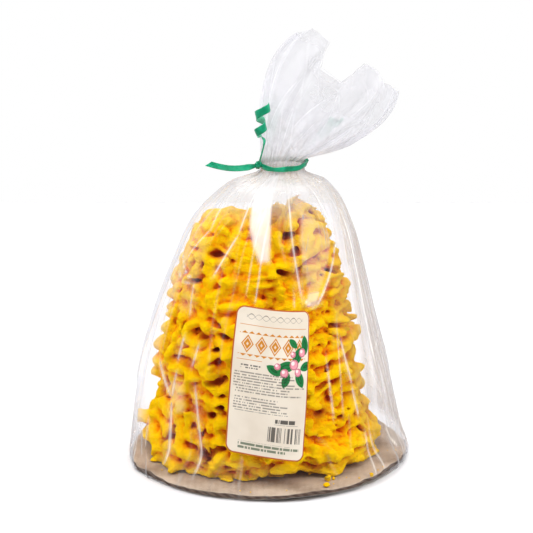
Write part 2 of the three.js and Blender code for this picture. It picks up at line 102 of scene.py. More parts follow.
def ease(value, low, high):
    """0 below low and 1 above high, with a smooth start and end."""
    s = np.clip((value - low) / (high - low), 0, 1)
    return s * s * (3 - 2 * s)


def blend(a, b, share):
    return a + (b - a) * share


def chance(seed):
    value = math.sin(seed * 12.9898) * 43758.5453
    return value - math.floor(value)


def between(low, high, seed):
    return low + (high - low) * chance(seed)


def lumps(x, y, z, size, seed, waves=14):
    """A lumpy field of about -1 to 1 whose lumps are size across: a sum of sine waves."""
    dice = np.random.default_rng(seed)
    total = 0
    for _ in range(waves):
        way = dice.normal(size=3)
        way *= 2 * math.pi / (size * dice.uniform(1.4, 2.6) * np.linalg.norm(way))
        total = total + np.sin(way[0] * x + way[1] * y + way[2] * z + dice.uniform(0, 2 * math.pi))
    return total * math.sqrt(2 / waves) / 1.6


print("curve check:", float(curve([0, 1, 2], [0, 1, 0])(1.0)))

# %% [markdown]
# ## Meshes from arrays
# Every piece here is worked out as an array of points in millimetres. One helper turns points and faces
# into a Blender mesh in metres. A second one makes a thin closed sheet from a grid of points, for the
# paper and the ribbon, and stores how far each point is across and along the sheet as its UV.

# %% Mesh helpers
def mesh_object(name, points, faces, uv=None):
    points = np.asarray(points, float) * MM
    faces = np.asarray(faces, np.int32)
    mesh = bpy.data.meshes.new(name)
    mesh.vertices.add(len(points))
    mesh.vertices.foreach_set("co", points.ravel())
    mesh.loops.add(faces.size)
    mesh.loops.foreach_set("vertex_index", faces.ravel())
    mesh.polygons.add(len(faces))
    mesh.polygons.foreach_set("loop_start", np.arange(0, faces.size, faces.shape[1]))
    mesh.update(calc_edges=True)
    mesh.shade_smooth()
    if uv is not None:
        layer = mesh.uv_layers.new(name="UVMap")
        layer.uv.foreach_set("vector", np.asarray(uv, np.float32)[faces.ravel()].ravel())
    made = bpy.data.objects.new(name, mesh)
    bpy.context.scene.collection.objects.link(made)
    return made


def store(piece, name, values):
    """Keeps one number for each vertex, which a material reads with an Attribute node."""
    layer = piece.data.attributes.new(name, "FLOAT", "POINT")
    layer.data.foreach_set("value", np.asarray(values, np.float32).ravel())


def grid_faces(rows, columns, joined=False):
    """Quads of a grid of points, row by row; joined closes each row on itself."""
    row, column = np.meshgrid(np.arange(rows - 1), np.arange(columns - (not joined)), indexing="ij")
    a = row * columns + column
    b = row * columns + (column + 1) % columns
    return np.stack([a, b, b + columns, a + columns], -1).reshape(-1, 4)


def grid_normals(grid, joined=False):
    """The unit normal at each point of a grid, from the way its rows and columns run."""
    if joined:
        along = np.roll(grid, -1, 1) - np.roll(grid, 1, 1)
    else:
        along = np.gradient(grid, axis=1)
    normal = np.cross(along, np.gradient(grid, axis=0))
    return normal / np.maximum(np.linalg.norm(normal, axis=2, keepdims=True), 1e-9)


def thin_sheet(name, grid, thickness):
    """A closed sheet over a grid of points (rows, columns, 3), with its UV across and along."""
    rows, columns = grid.shape[:2]
    back = grid - grid_normals(grid) * thickness
    points = np.concatenate([grid.reshape(-1, 3), back.reshape(-1, 3)])
    front_faces = grid_faces(rows, columns)
    back_faces = front_faces[:, ::-1] + rows * columns
    index = np.arange(rows * columns).reshape(rows, columns)
    rim = np.concatenate([index[0], index[1:, -1], index[-1, -2::-1], index[-2:0:-1, 0]])
    after = np.roll(rim, -1)
    sides = np.stack([after, rim, rim + rows * columns, after + rows * columns], -1)
    across, along = np.meshgrid(np.linspace(0, 1, columns), np.linspace(0, 1, rows))
    uv = np.tile(np.stack([across, along], -1).reshape(-1, 2), (2, 1))
    return mesh_object(name, points, np.concatenate([front_faces, back_faces, sides]), uv)


def count_triangles(piece):
    piece.data.calc_loop_triangles()
    return len(piece.data.loop_triangles)


def places_of(piece):
    """Where a piece's vertices are, in millimetres."""
    co = np.zeros(len(piece.data.vertices) * 3)
    piece.data.vertices.foreach_get("co", co)
    return co.reshape(-1, 3) / MM


# %% [markdown]
# ## Shader maths as sums
# A finish is a sum of a few patterns. `Field` wraps the output of any node, so that `1 - mask` or
# `a * b` adds the Math node for it. Its one other method, `node`, adds any node from its kind, its
# settings and what goes into its sockets. The functions after it are the nodes that most finishes need:
# a ramp between two values, a mix of two colours, noise, one axis of a vector, and a stored number.

# %% The shader helper
class Field:
    """A value at every point of a surface: the output of a shader node."""

    def __init__(self, tree, socket=None):
        self.tree = tree
        self.socket = socket

    def node(self, kind, inputs, output=0, **settings):
        made = self.tree.nodes.new("ShaderNode" + kind)
        for name, value in settings.items():
            if name == "stops":
                set_stops(made.color_ramp, value)
            else:
                setattr(made, name, value)
        for name, value in inputs.items():
            if isinstance(value, Field):
                self.tree.links.new(value.socket, made.inputs[name])
            else:
                made.inputs[name].default_value = value
        return Field(self.tree, made.outputs[output] if made.outputs else None)

    def math(self, operation, other=None, swapped=False):
        if other is None:
            return self.node("Math", {0: self}, operation=operation)
        pair = {0: other, 1: self} if swapped else {0: self, 1: other}
        return self.node("Math", pair, operation=operation)

    def __add__(self, other):
        return self.math("ADD", other)

    def __radd__(self, other):
        return self.math("ADD", other)

    def __sub__(self, other):
        return self.math("SUBTRACT", other)

    def __rsub__(self, other):
        return self.math("SUBTRACT", other, swapped=True)

    def __mul__(self, other):
        return self.math("MULTIPLY", other)

    def __rmul__(self, other):
        return self.math("MULTIPLY", other)

    def __truediv__(self, other):
        return self.math("DIVIDE", other)

    def __pow__(self, other):
        return self.math("POWER", other)

    def __abs__(self):
        return self.math("ABSOLUTE")


def set_stops(ramp, stops):
    """Gives a colour ramp its stops, as pairs of a place and a colour."""
    while len(ramp.elements) < len(stops):
        ramp.elements.new(1)
    for element, (place, colour) in zip(ramp.elements, stops):
        element.position = place
        element.color = colour


def srgb(red, green, blue):
    """A colour read from 0 to 255, as the linear colour that shaders work in."""
    linear = [((v / 255 + 0.055) / 1.055) ** 2.4 if v > 10 else v / 255 / 12.92 for v in (red, green, blue)]
    return (*linear, 1)


def rising(field, low, high):
    """0 below low and 1 above high, with a smooth step between."""
    places = {"Value": field, "From Min": low, "From Max": high}
    return field.node("MapRange", places, interpolation_type="SMOOTHSTEP")


def larger(a, b):
    return a.math("MAXIMUM", b)


def smaller(a, b):
    return a.math("MINIMUM", b)


def mixed(share, colour, other):
    """One colour turning into another by a share."""
    start = share if isinstance(share, Field) else colour
    return start.node("Mix", {0: share, 6: colour, 7: other}, output=2, data_type="RGBA", clamp_factor=True)


def noise(place, scale, **settings):
    """A noise texture at a place; scale is about how many of its lumps fit in a metre."""
    return place.node("TexNoise", {"Vector": place, "Scale": scale, **settings})


def part_of(vector, axis):
    """The X, Y or Z of a vector, as a number."""
    return vector.node("SeparateXYZ", {0: vector}, output=axis)


def stored(tree, name):
    """The numbers that were kept on a mesh's vertices under a name."""
    return tree.node("Attribute", {}, output="Fac", attribute_name=name)


def new_finish(name):
    """A material with an empty node tree, and its tree as a Field to start from."""
    finish = bpy.data.materials.new(name)
    finish.use_nodes = True
    finish.node_tree.nodes.clear()
    return finish, Field(finish.node_tree)


def finish_with(tree, shader):
    tree.node("OutputMaterial", {"Surface": shader})


def put_on(piece, finish):
    piece.data.materials.clear()
    piece.data.materials.append(finish)


print("yellow in linear light:", [round(v, 3) for v in srgb(255, 208, 0)])

# %% [markdown]
# ## The board under the cake
# The board is a disc cut by hand from brown corrugated card. It lies flat under the cake, but the tied
# bag pulls its rim up, so the rim is wavy, kinked, a little crushed, and torn short in two places. A disc
# of polar rings suits it: the rim's height and radius are functions of the turn, with sharp kinks and
# tears added to the CAD's slow waves. Turns are measured from the front, towards +X.

# %% The board's rim
CARD_RADIUS = 98
CARD_THICKNESS = 3.8
CARD_FLAT_RADIUS = 74
CARD_EDGE_LIFT = 3.2
CARD_EDGE_WOBBLE = 1.3
CARD_KINKS = [  # the turn in degrees, half the width in degrees, and the height
    (-58, 6, 3.0), (-45, 4, -1.2), (-17, 9, 1.0), (8, 7, -0.8), (29, 7, -1.6), (40, 5, 1.6), (52, 6, -1.4),
    (62, 7, 3.2), (78, 7, 1.8), (96, 6, 1.1), (133, 8, 2.3), (170, 7, -1.2), (-96, 6, 2), (-131, 7, -1.4),
    (-155, 7, 1.6),
]
CARD_TEARS = [  # the depth, and the turns in degrees where a tear starts, is full, and ends
    (2.4, 39, 45, 62, 88), (1.6, -66, -60, -54, -38),
]


def card_lift(turn):
    slow = 0.3 * np.sin(turn - 0.1) + 0.2 * np.sin(3 * turn + 0.6)
    return CARD_EDGE_LIFT * np.clip(0.5 + slow + 0.12 * np.sin(7 * turn), 0, 1)


def card_radius(turn):
    wobble = 0.6 * np.sin(5 * turn + 0.8) + 0.4 * np.sin(9 * turn) - 1
    degrees = np.degrees(turn)
    torn = 0
    for depth, start, full, full_end, end in CARD_TEARS:
        torn = torn + depth * ease(degrees, start, full) * (1 - ease(degrees, full_end, end))
    return CARD_RADIUS + CARD_EDGE_WOBBLE * wobble - torn


def card_kink(turn):
    """Sharp bends of the rim, in mm up or down."""
    total = 0
    for degrees, width, height in CARD_KINKS:
        distance = np.abs((np.degrees(turn) - degrees + 180) % 360 - 180)
        total = total + height * np.maximum(0, 1 - distance / width)
    return total


def near_rim(radius):
    """0 where the board is flat, rising to 1 at its rim."""
    return np.clip((radius - CARD_FLAT_RADIUS) / (CARD_RADIUS - CARD_FLAT_RADIUS), 0, 1)


def card_top(turn, radius):
    return CARD_THICKNESS + card_lift(turn) * near_rim(radius)


# %% The board's mesh
CARD_TURNS = 480
UNDERSIDE_GAP = 0.3  # room for the film that is tucked under the rim


def build_board():
    turn = np.linspace(-math.pi, math.pi, CARD_TURNS, endpoint=False)
    rim = card_radius(turn) + 0.25 * np.sin(31 * turn) + 0.2 * np.sin(53 * turn + 1)
    rows = []

    def ring(share, face, tuck=0.0):
        """A ring at a share of the rim's radius; face is 0 on the underside and 1 on top."""
        radius = rim * share - tuck
        outside = near_rim(radius)
        wrinkle = 0.18 * lumps(radius * np.sin(turn), radius * np.cos(turn), 0, 14, 5) * outside
        bend = card_kink(turn) * outside ** 2 * face * 0.55
        crushed = 0.45 * outside ** 3 * (1 + np.sin(9 * turn + 2)) * face
        height = UNDERSIDE_GAP * outside + card_lift(turn) * outside + face * (CARD_THICKNESS - 0.3 * outside)
        height = height + wrinkle * face + bend - crushed
        rows.append(np.stack([radius * np.sin(turn), -radius * np.cos(turn), height], 1))

    for share in np.linspace(0.02, 0.985, 14):
        ring(share, 0)
    for face, tuck in [(0.06, 0.5), (0.2, 0.0), (0.4, 0.35), (0.6, 0.1), (0.8, 0.0), (0.94, 0.4)]:
        ring(1, face, tuck)
    for share in np.concatenate([np.linspace(0.985, 0.72, 18), np.linspace(0.68, 0.02, 8)]):
        ring(share, 1)
    grid = np.array(rows)
    faces = grid_faces(len(rows), CARD_TURNS, joined=True)
    points = grid.reshape(-1, 3)
    last = len(points)
    points = np.concatenate([points, [[0, 0, 0], [0, 0, CARD_THICKNESS]]])
    index = np.arange(CARD_TURNS)
    after = np.roll(index, -1)
    top = (len(rows) - 1) * CARD_TURNS
    under = np.stack([after, index, np.full(CARD_TURNS, last)], 1)
    over = np.stack([top + index, top + after, np.full(CARD_TURNS, last + 1)], 1)
    triangles = np.concatenate([faces[:, [0, 1, 2]], faces[:, [0, 2, 3]], under, over])
    return mesh_object("board", points, triangles)


board = build_board()
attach(board, "root")
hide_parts("card")
print("board triangles:", count_triangles(board))

# %% [markdown]
# ### Brown card
# The card is grey-brown paper with fine fibres, soft blotches and very faint stripes from the flutes
# inside it. Its cut edge is dark, partly from the flutes that show there as short strokes and partly as
# painted shade. The stripes are a sine across the board that noise lets drift, and the cut edge is told by
# how upright the surface is.

# %% Card finish
FLUTE_PITCH = 4.6 * MM


def card_finish():
    finish, tree = new_finish("brown_card")
    place = tree.node("TexCoord", {}, output="Object")
    apart = part_of(place, "X")
    height = part_of(place, "Z")
    fibres = noise(place, 900, Detail=4, Roughness=0.7)
    blotches = noise(place, 38, Detail=3)
    drift = noise(place, 25, Detail=1)
    stripes = (apart * (2 * math.pi / FLUTE_PITCH) + drift * 6).math("SINE")
    facing_up = part_of(tree.node("NewGeometry", {}, output="Normal"), "Z")
    # painted shade: the upright rim is made darker, along with its real flute strokes
    cut_edge_and_shade = 1 - rising(abs(facing_up), 0.25, 0.75)
    tone = rising(blotches * 0.65 + fibres * 0.3 + stripes * 0.012, 0.3, 0.62)
    paper = mixed(tone, srgb(146, 127, 109), srgb(196, 179, 160))
    flutes = rising((height * 1600 + apart * 900).math("SINE"), -0.4, 0.6)
    edge_and_shade_colour = mixed(flutes, srgb(88, 72, 62), srgb(118, 100, 88))
    raised = fibres * 0.5 + stripes * 0.06
    relief = tree.node("Bump", {"Strength": 0.25, "Distance": 0.6 * MM, "Height": raised})
    paper_inputs = {
        "Base Color": mixed(cut_edge_and_shade, paper, edge_and_shade_colour),
        "Roughness": 0.82 + 0.1 * fibres,
        "Normal": relief,
        "Specular IOR Level": 0.3,
    }
    finish_with(tree, tree.node("BsdfPrincipled", paper_inputs))
    return finish


put_on(board, card_finish())

# %% [markdown]
# ## The cake
# The cake is one body of set batter: a core, wavy shelves that run round it, blunt branches that stick
# out of the shelves, and drips that join a shelf to the next. Such forms melt into each other, which is
# hard to weave from quads but easy as a distance field: each form says how far away its surface is, and a
# smooth minimum joins them. The field is filled on a grid and skinned afterwards. Batter sets ragged, so
# each form is worked out at places that noise has pushed about a little. The sizes are the CAD's, so the
# shape stays where its solid is.

# %% The cake's main measures
CAKE_AXIS = -4
CAKE_FOOT = 4.9
CAKE_RINGS = 16
FIRST_RING = 10
RING_PITCH = 10.9
CROWN_HEIGHT = 181
CROWN_RADIUS = 32
CROWN_SLOPE = 5
HOLE_RADIUS = 24
BRANCH_SPACING = 13
cake_reach = curve(
    [5, 16, 30, 46, 62, 82, 107, 130, 148, 168, 190],
    [84, 87, 79, 73.5, 72, 70, 66, 61.5, 56, 47, 36],
)
crown_by_degrees = curve(
    [-180, -130, -90, -55, -28, 2, 14, 34, 54, 78, 110, 150, 180],
    [173, 173, 176, 178, 184, 174, 173, 185, 194, 185, 176, 173, 173],
)


def crown_height(turn):
    return crown_by_degrees((np.degrees(turn) + 540) % 360 - 180)


def ring_wave(turn, z):
    """How far the rings wander up and down at a turn, and follow the broken crown higher up."""
    closeness = np.minimum(1, z / CROWN_HEIGHT) ** 4
    wave = 2.8 * np.sin(3 * turn + 0.035 * z) + 2 * np.sin(7 * turn - 0.04 * z + 1)
    return wave + (crown_height(turn) - CROWN_HEIGHT) * closeness


def bulge(turn, z):
    """The cake leans out on its left at half height, and its foot spreads less front and back."""
    up = np.clip(z / CROWN_HEIGHT, 0, 1)
    leaning = -3 * np.sin(turn) * np.sin(math.pi * up)
    return leaning - 11 * np.cos(turn) ** 2 * (1 - ease(z, 8, 46))


def cake_side(turn, z):
    """How far the cake's side is from its axis, at one turn and height."""
    return float(cake_reach(z)) + float(bulge(turn, z))


def slit_depth(z):
    """How deep the slits between the shelves go: deeper low down."""
    return blend(23, 14, z / CROWN_HEIGHT)


def core_radius(turn, z):
    return cake_reach(z) - slit_depth(z) + bulge(turn, z) + 1.5 * np.sin(5 * turn + 0.1 * z)


# %% The grid and the core
STEP = 1.3
GRID_LOW = np.array([-100.0, -92.0, 1.0])
GRID_HIGH = np.array([94.0, 92.0, 202.0])
xs, ys, zs = [np.arange(GRID_LOW[k], GRID_HIGH[k], STEP, dtype=np.float32) for k in range(3)]
GRID = np.meshgrid(xs, ys, zs, indexing="ij")


def pushed_about(x, y, z):
    """The same places moved by noise, so that what is built at them comes out ragged."""
    moved = []
    for k, (place, push) in enumerate([(x, 2), (y, 2), (z, 1.2)]):
        wide = push * lumps(x, y, z, 14, 41 + k, waves=10)
        fine = 0.45 * lumps(x, y, z, 5, 51 + k, waves=10)
        moved.append((place + wide + fine).astype(np.float32))
    return moved


X, Y, Z = pushed_about(*GRID)
TURN = np.arctan2(X - CAKE_AXIS, -Y)
RADIUS = np.hypot(X - CAKE_AXIS, Y)


def core_field():
    """The core, filled out almost to the branches except where deep pits are left open."""
    pits = lumps(X, Y, 3.4 * Z, 25, 31)
    phase = (Z - ring_wave(TURN, Z) - FIRST_RING) / RING_PITCH
    grooves = (0.5 - 0.5 * np.cos(4 * math.pi * phase)) * (0.7 + 0.5 * lumps(X, Y, Z, 14, 33))
    filled = 0.62 * slit_depth(Z) * ease(pits, -1.15, -0.6) + 1.2 * lumps(X, Y, 1.8 * Z, 7, 32) - 4 * grooves
    core = (RADIUS - core_radius(TURN, Z) - filled) * 0.8
    outside = np.maximum(0, RADIUS - CROWN_RADIUS)
    inside = np.maximum(0, CROWN_RADIUS - RADIUS)
    roof = crown_height(TURN) - 0.42 * outside - CROWN_SLOPE / 8 * inside
    return np.maximum(core, (Z - roof) * 0.85).astype(np.float32)


def melt(field, other, softness):
    """Two fields joined with a soft fillet between them."""
    share = np.clip(0.5 + 0.5 * (field - other) / softness, 0, 1)
    return field + (other - field) * share - softness * share * (1 - share)


field = core_field()
print("grid points:", field.size)

# %% [markdown]
# ### The room inside the film
# The film hangs from the tie to the board's rim in flat faces with soft corners between them. The same
# two functions shape the film later on, and tell here how far a branch may reach.

# %% The film's own shape
ROOM_IN_FILM = 3.0
film_heights = [0, 52, 101, 140, 171, 190, 203, 209]
film_left = curve(film_heights, [98, 93, 81, 66.5, 52, 34.5, 17, 8])
film_right = curve(film_heights, [98, 89.5, 77.5, 68, 59, 48.5, 35, 25])
FILM_FACES = [(-22, 0.825, 0.955), (22, 0.97, 1.08), (60, 0.94, 0.94), (100, 0.975, 0.975), (145, 0.95, 0.95),
              (190, 0.93, 0.93), (235, 0.95, 0.95), (280, 0.975, 0.975)]
FILM_CORNER_SHARPNESS = 16


def film_centre(z):
    return (film_right(z) - film_left(z)) / 2


def film_radius(turn, z):
    """The film's distance from its own centre: a rounded polygon, round again at the board."""
    up_the_face = ease(z, 20, 140)
    total = 0
    for degrees, low_reach, high_reach in FILM_FACES:
        reach = blend(low_reach, high_reach, up_the_face)
        total = total + (np.maximum(0, np.cos(turn - math.radians(degrees))) / reach) ** FILM_CORNER_SHARPNESS
    polygon = total ** (-1 / FILM_CORNER_SHARPNESS)
    return (film_right(z) + film_left(z)) / 2 * blend(1, polygon, ease(z, 2, 26))


def room_for_tip(turn, z):
    """How far from the cake's axis a branch may reach before it would touch the film."""
    radius = float(film_radius(turn, z)) - ROOM_IN_FILM
    centre = float(film_centre(z)) - CAKE_AXIS
    return radius + centre * math.sin(turn)


# %% [markdown]
# ### Shelves and branches
# On the left of the cake the batter set as separate knobs and spikes, and on the right as long wavy
# shelves, so one share says how much of a shelf there is at each turn. Each branch follows the CAD's own
# rule for its place and length, then gets a rounded, drooping tip and a thickness of its own. It is a
# flattened capsule, and only the grid points close to it are worked out.

# %% Shelves
def shelf_share(turn):
    """1 where the batter set as long shelves, 0 where it set as separate branches."""
    return ease(np.sin(turn - 0.25), -0.35, 0.5)


def add_shelf(field, z, reach, thickness, seed):
    layers = np.nonzero((zs > z - 24) & (zs < z + 24))[0]
    part = np.s_[:, :, layers[0] : layers[-1] + 1]
    turn, radius = TURN[part], RADIUS[part]
    share = shelf_share(turn)
    around = (70 * np.sin(turn), 70 * np.cos(turn))
    slow = lumps(*around, z * 0.5, 36, seed + 50, waves=10)
    ripple = lumps(*around, z, 10, seed, waves=10)
    fine = lumps(*around, Z[part], 4.5, seed + 80, waves=10)
    middle = z + ring_wave(turn, z) + 1.6 * slow * share + 0.9 * ripple
    edge = reach + bulge(turn, z) - blend(6.5, 3.6, share)
    edge = edge + blend(1.2, 2.2, share) * ripple + 1.5 * slow + 0.8 * fine
    half = thickness / 2 * (1 + 0.25 * ripple + 0.2 * fine) * (1 - 0.4 * ease(radius, edge - 9, edge))
    droop = 0.12 * np.maximum(0, radius - edge + 14)
    hanging = 3.2 * np.maximum(0, ripple + 0.4 * fine) * ease(radius, edge - 9, edge - 1)
    off = Z[part] - middle + droop + hanging
    shelf = np.hypot(np.maximum(0, radius - edge + half), off * 0.9) - half
    field[part] = melt(field[part], shelf * 0.9, 1.3)


# %% Branches and drips
def add_capsule(field, start, end, thick, thin, flat=0.72, softness=1.8, carve=False):
    """Melts a capsule into the field, or carves it out; flat is its height as a share of its width."""
    reach = max(thick, thin) + 8
    low = np.minimum(start, end) - reach
    high = np.maximum(start, end) + reach
    cells = []
    for axis, low_place, high_place in zip((xs, ys, zs), low, high):
        first, last = np.searchsorted(axis, [low_place, high_place])
        if last - first < 2:
            return
        cells.append(slice(first, last))
    part = tuple(cells)
    squeeze = np.array([1, 1, 1 / flat])
    along = (end - start) * squeeze
    offset = [grid[part] - origin for grid, origin in zip((X, Y, Z), start)]
    offset[2] = offset[2] / flat
    share = sum(o * a for o, a in zip(offset, along)) / max(along @ along, 1e-6)
    share = np.clip(share, 0, 1)
    distance = np.sqrt(sum((o - a * share) ** 2 for o, a in zip(offset, along)))
    capsule = (distance - blend(thick, thin, share)) * (0.5 + 0.5 * flat)
    if carve:
        field[part] = -melt(-field[part], capsule, softness)
    else:
        field[part] = melt(field[part], capsule, softness)


def at_turn(turn, radius, z):
    return np.array([CAKE_AXIS + radius * math.sin(turn), -radius * math.cos(turn), z])


def branch_tips(ring):
    """The turn, tip radius, lift and seed of each branch of a ring, by the CAD's rule."""
    z = FIRST_RING + ring * RING_PITCH
    reach = cake_reach(z) + between(-1.5, 1.5, ring * 7 + 3)
    count = round(2 * math.pi * reach / BRANCH_SPACING)
    offset = chance(ring * 13 + 1)
    most_lift = 2.5 if ring < CAKE_RINGS - 4 else 1.2
    for i in range(count):
        seed = ring * 101 + i * 3
        extra = 5.5 if chance(seed + 2) < 0.14 else 0
        tip = reach + between(1.5, -6.5, seed) + extra
        share = (between(0.24, 0.4, seed + 6) + between(0.6, 0.74, seed + 8)) / 2
        turn = 2 * math.pi * (i + offset + share) / count
        yield turn, tip, between(-most_lift, most_lift, seed + 1), seed


def add_branch(field, turn, z, tip, lift, seed, size=1.0):
    share = float(shelf_share(turn))
    tip = tip + float(bulge(turn, z)) - share * 2.4
    middle = z + float(ring_wave(turn, z)) + lift
    thin = size * between(2.9, 4.3, seed + 21) * (1 + 0.25 * share)
    thick = size * between(4.2, 5.6, seed + 22)
    droop = between(-0.6, 3.2, seed + 23)
    bend = between(-0.07, 0.07, seed + 24)
    start = at_turn(turn - bend, tip - between(15, 19, seed + 25), middle + droop * 0.3)
    knee = at_turn(turn, tip - between(6, 9, seed + 26), middle + 0.4)
    tip = min(tip, room_for_tip(turn, z))
    end = at_turn(turn + bend, tip - thin, middle - droop)
    flat = blend(between(0.68, 0.9, seed + 27), 0.6, share)
    add_capsule(field, start, knee, thick, blend(thick, thin, 0.6), flat)
    add_capsule(field, knee, end, blend(thick, thin, 0.6), thin, flat)
    if chance(seed + 28) < 0.3:
        knob = at_turn(turn + bend * 1.6, tip - thin * 1.3, middle - droop - between(0.5, 2.5, seed + 29))
        add_capsule(field, end, knob, thin, thin * 1.08, flat)


# %% All rings
def add_rings(field):
    branches = 0
    for ring in range(CAKE_RINGS):
        z = FIRST_RING + ring * RING_PITCH
        reach = cake_reach(z) + between(-1.5, 1.5, ring * 7 + 3)
        add_shelf(field, z, reach, between(4.6, 5.8, ring + 31), ring)
        for turn, tip, lift, seed in branch_tips(ring):
            if chance(seed + 40) < 0.65 * float(shelf_share(turn)):
                continue
            add_branch(field, turn, z, tip, lift, seed)
            branches += 1
        if ring < CAKE_RINGS - 1:
            between_z = z + RING_PITCH * between(0.42, 0.58, ring + 77)
            add_shelf(field, between_z, cake_reach(between_z) - 2.4, between(3.0, 4.0, ring + 61), ring + 200)
    return branches


def add_slabs(field, count):
    """Broad flat tongues that run along a ring, where much batter set at once."""
    for i in range(count):
        seed = 7000 + i * 9
        turn = 2 * math.pi * chance(seed)
        ring = int(between(0.2, CAKE_RINGS - 0.01, seed + 1))
        z = FIRST_RING + RING_PITCH * ring + between(-2, 2, seed + 7)
        share = float(shelf_share(turn))
        inset = between(blend(4.5, 2, share), blend(8, 5.5, share), seed + 2)
        radius = cake_side(turn, z) - inset
        half = between(4, 11, seed + 3) / radius
        middle = z + float(ring_wave(turn, z))
        hanging = chance(seed + 8) < 0.45 * (1 - share)
        tilt = between(-9, 9, seed + 4) if hanging else between(-3, 3, seed + 4)
        thin = between(1.4, 2.4, seed + 6) if hanging else between(2.8, 4.2, seed + 6)
        if chance(seed + 10) < 0.5:
            half = -half
        start = at_turn(turn - half, radius - 1, middle + abs(tilt))
        end = at_turn(turn + half, radius, middle + tilt)
        size = blend(1, 0.72, share)
        thick = between(3.4, 4.6, seed + 5)
        add_capsule(field, start, end, size * thick, size * thin, flat=1 if hanging else 0.75)


def add_loose_branches(field, count):
    """Smaller knobs between the rings, where the batter splashed."""
    for i in range(count):
        seed = 5000 + i * 11
        turn = 2 * math.pi * chance(seed)
        z = between(FIRST_RING + 4, 172, seed + 1)
        tip = float(cake_reach(z)) - between(1.5, 8.5, seed + 2)
        add_branch(field, turn, z, tip, between(-2, 2, seed + 3), seed, size=between(0.6, 0.85, seed + 4))


def add_drips(field, count):
    """Short upright drips that join a shelf to the one below it."""
    for i in range(count):
        seed = 9000 + i * 7
        turn = 2 * math.pi * chance(seed)
        if chance(seed + 6) < 0.7 * float(shelf_share(turn)):
            continue
        z = between(22, 165, seed + 1)
        inward = between(3, 9, seed + 2)
        high = z + float(ring_wave(turn, z))
        upper = at_turn(turn, cake_side(turn, z) - inward, high)
        low_z = high - RING_PITCH * between(0.6, 1, seed + 3)
        lower_radius = cake_side(turn, low_z) - inward - between(0, 2, seed + 4)
        lower = at_turn(turn + between(-0.05, 0.05, seed + 5), lower_radius, low_z)
        add_capsule(field, upper, lower, between(2.4, 4.2, seed + 6), between(1.6, 2.8, seed + 7), flat=1)


SLABS = 230
LOOSE_BRANCHES = 90
DRIPS = 170
branch_count = add_rings(field)
add_slabs(field, SLABS)
add_loose_branches(field, LOOSE_BRANCHES)
add_drips(field, DRIPS)
print("branches:", branch_count)

# %% [markdown]
# ### What the photograph shows in its own place
# A few branches stand out at the sides, and some gaps between the shelves are deep and dark. They are set
# one by one, each by its turn in degrees and its height. A branch is melted into the field, a gap is
# carved out of it, and where the batter toasted, only a colour is kept for later.

# %% Single branches, gaps and toasted spots
STRONG_BRANCHES = [  # the turn, the height, how far out it reaches, and its size
    (-90, 107, 69.5, 1.0), (-90, 83.7, 75, 1.15), (-88, 64.3, 77.5, 1.1), (-92, 37.7, 76.5, 1.1),
    (-84, 18, 84, 1.1), (92, 51.4, 75, 1.45), (80, 21, 86, 1.5), (88, 93, 69, 1.2),
]
GAPS = [  # the turn, the height, half the width and half the height
    (26.5, 169, 5, 3.4), (17, 144.5, 4.6, 2.8), (-39.5, 155, 6, 3.2), (-52, 71, 3.4, 3), (-29, 110, 3.4, 2.4),
    (-26, 104, 4, 2.6), (-40, 101, 3, 3.2), (-29, 93, 4.5, 2.2), (-29, 71.5, 5.5, 2.6), (-24, 54.5, 5, 2.2),
    (-31, 48, 6, 2), (-62, 24, 6, 5), (-32, 22, 5.5, 6), (-23, 28, 3.5, 4), (48, 79.5, 3, 3.4),
    (49, 37, 2.4, 1.8), (38.5, 47, 5, 2.4), (-52, 135, 4, 2.4), (140, 150, 5, 3), (170, 118, 5, 3),
    (-150, 96, 5, 3), (-120, 140, 5, 3), (115, 75, 5, 3), (-170, 48, 6, 3), (150, 35, 5, 4),
]
TOASTED = [  # the turn, the height, the size and the strength
    (-14.5, 171.5, 9, 1.0), (-16, 143, 9, 0.6), (-62, 24, 13, 0.9), (-31, 23, 13, 1.0), (38, 47, 9, 0.8),
    (-62, 112, 8, 0.8), (-40, 101, 8, 0.6), (54, 191, 8, 1.0), (48, 30, 9, 0.5), (28, 12, 9, 0.5),
    (130, 60, 12, 0.8), (175, 130, 10, 0.8), (-140, 70, 11, 0.8), (-110, 158, 9, 0.7), (100, 140, 9, 0.6),
]


def add_single_forms(field):
    for k, (degrees, z, reach, size) in enumerate(STRONG_BRANCHES):
        turn = math.radians(degrees)
        outward = reach - float(bulge(turn, z))
        level = z - float(ring_wave(turn, z))
        add_branch(field, turn, level, outward, 0, 8000 + 17 * k, size)
    for degrees, z, half_width, half_height in GAPS:
        turn = math.radians(degrees)
        radius = cake_side(turn, z)
        outer = at_turn(turn, radius + 3, z + 1)
        inner = at_turn(turn, radius - 10, z - 1)
        flat = half_height / half_width
        add_capsule(field, outer, inner, half_width, half_width * 0.7, flat, softness=2.0, carve=True)


add_single_forms(field)

# %% [markdown]
# ### Trimming and lumps
# What came out of the rules is trimmed to the room that the cake has: the spit's hole down its middle,
# the board below and the film around it. Before that, small lumps, creases and ridges are added, because
# batter doesn't set smooth.

# %% Trim the field
ABOVE_BOARD = 0.9


def trim(field):
    x, y, z = GRID
    creases = abs(lumps(x, y, 1.3 * z, 9, 4))
    ridges = abs(lumps(x, y, 1.5 * z, 12, 6))
    field += 0.3 * lumps(x, y, 1.6 * z, 3.4, 3) + 0.5 * (0.5 - creases) + 0.6 * (ridges - 0.4)
    centre = film_centre(z)
    room = film_radius(np.arctan2(x - centre, -y), z) - ROOM_IN_FILM
    outside_film = np.hypot(x - centre, y) - room
    turn, radius = np.arctan2(x - CAKE_AXIS, -y), np.hypot(x - CAKE_AXIS, y)
    below = card_top(np.arctan2(x, -y), np.hypot(x, y)) + ABOVE_BOARD - z
    hole = HOLE_RADIUS - radius + 0.8 * np.sin(3 * turn + 0.05 * z)
    for limit in (outside_film, below, hole):
        np.maximum(field, limit, out=field)
    return field


trim(field)

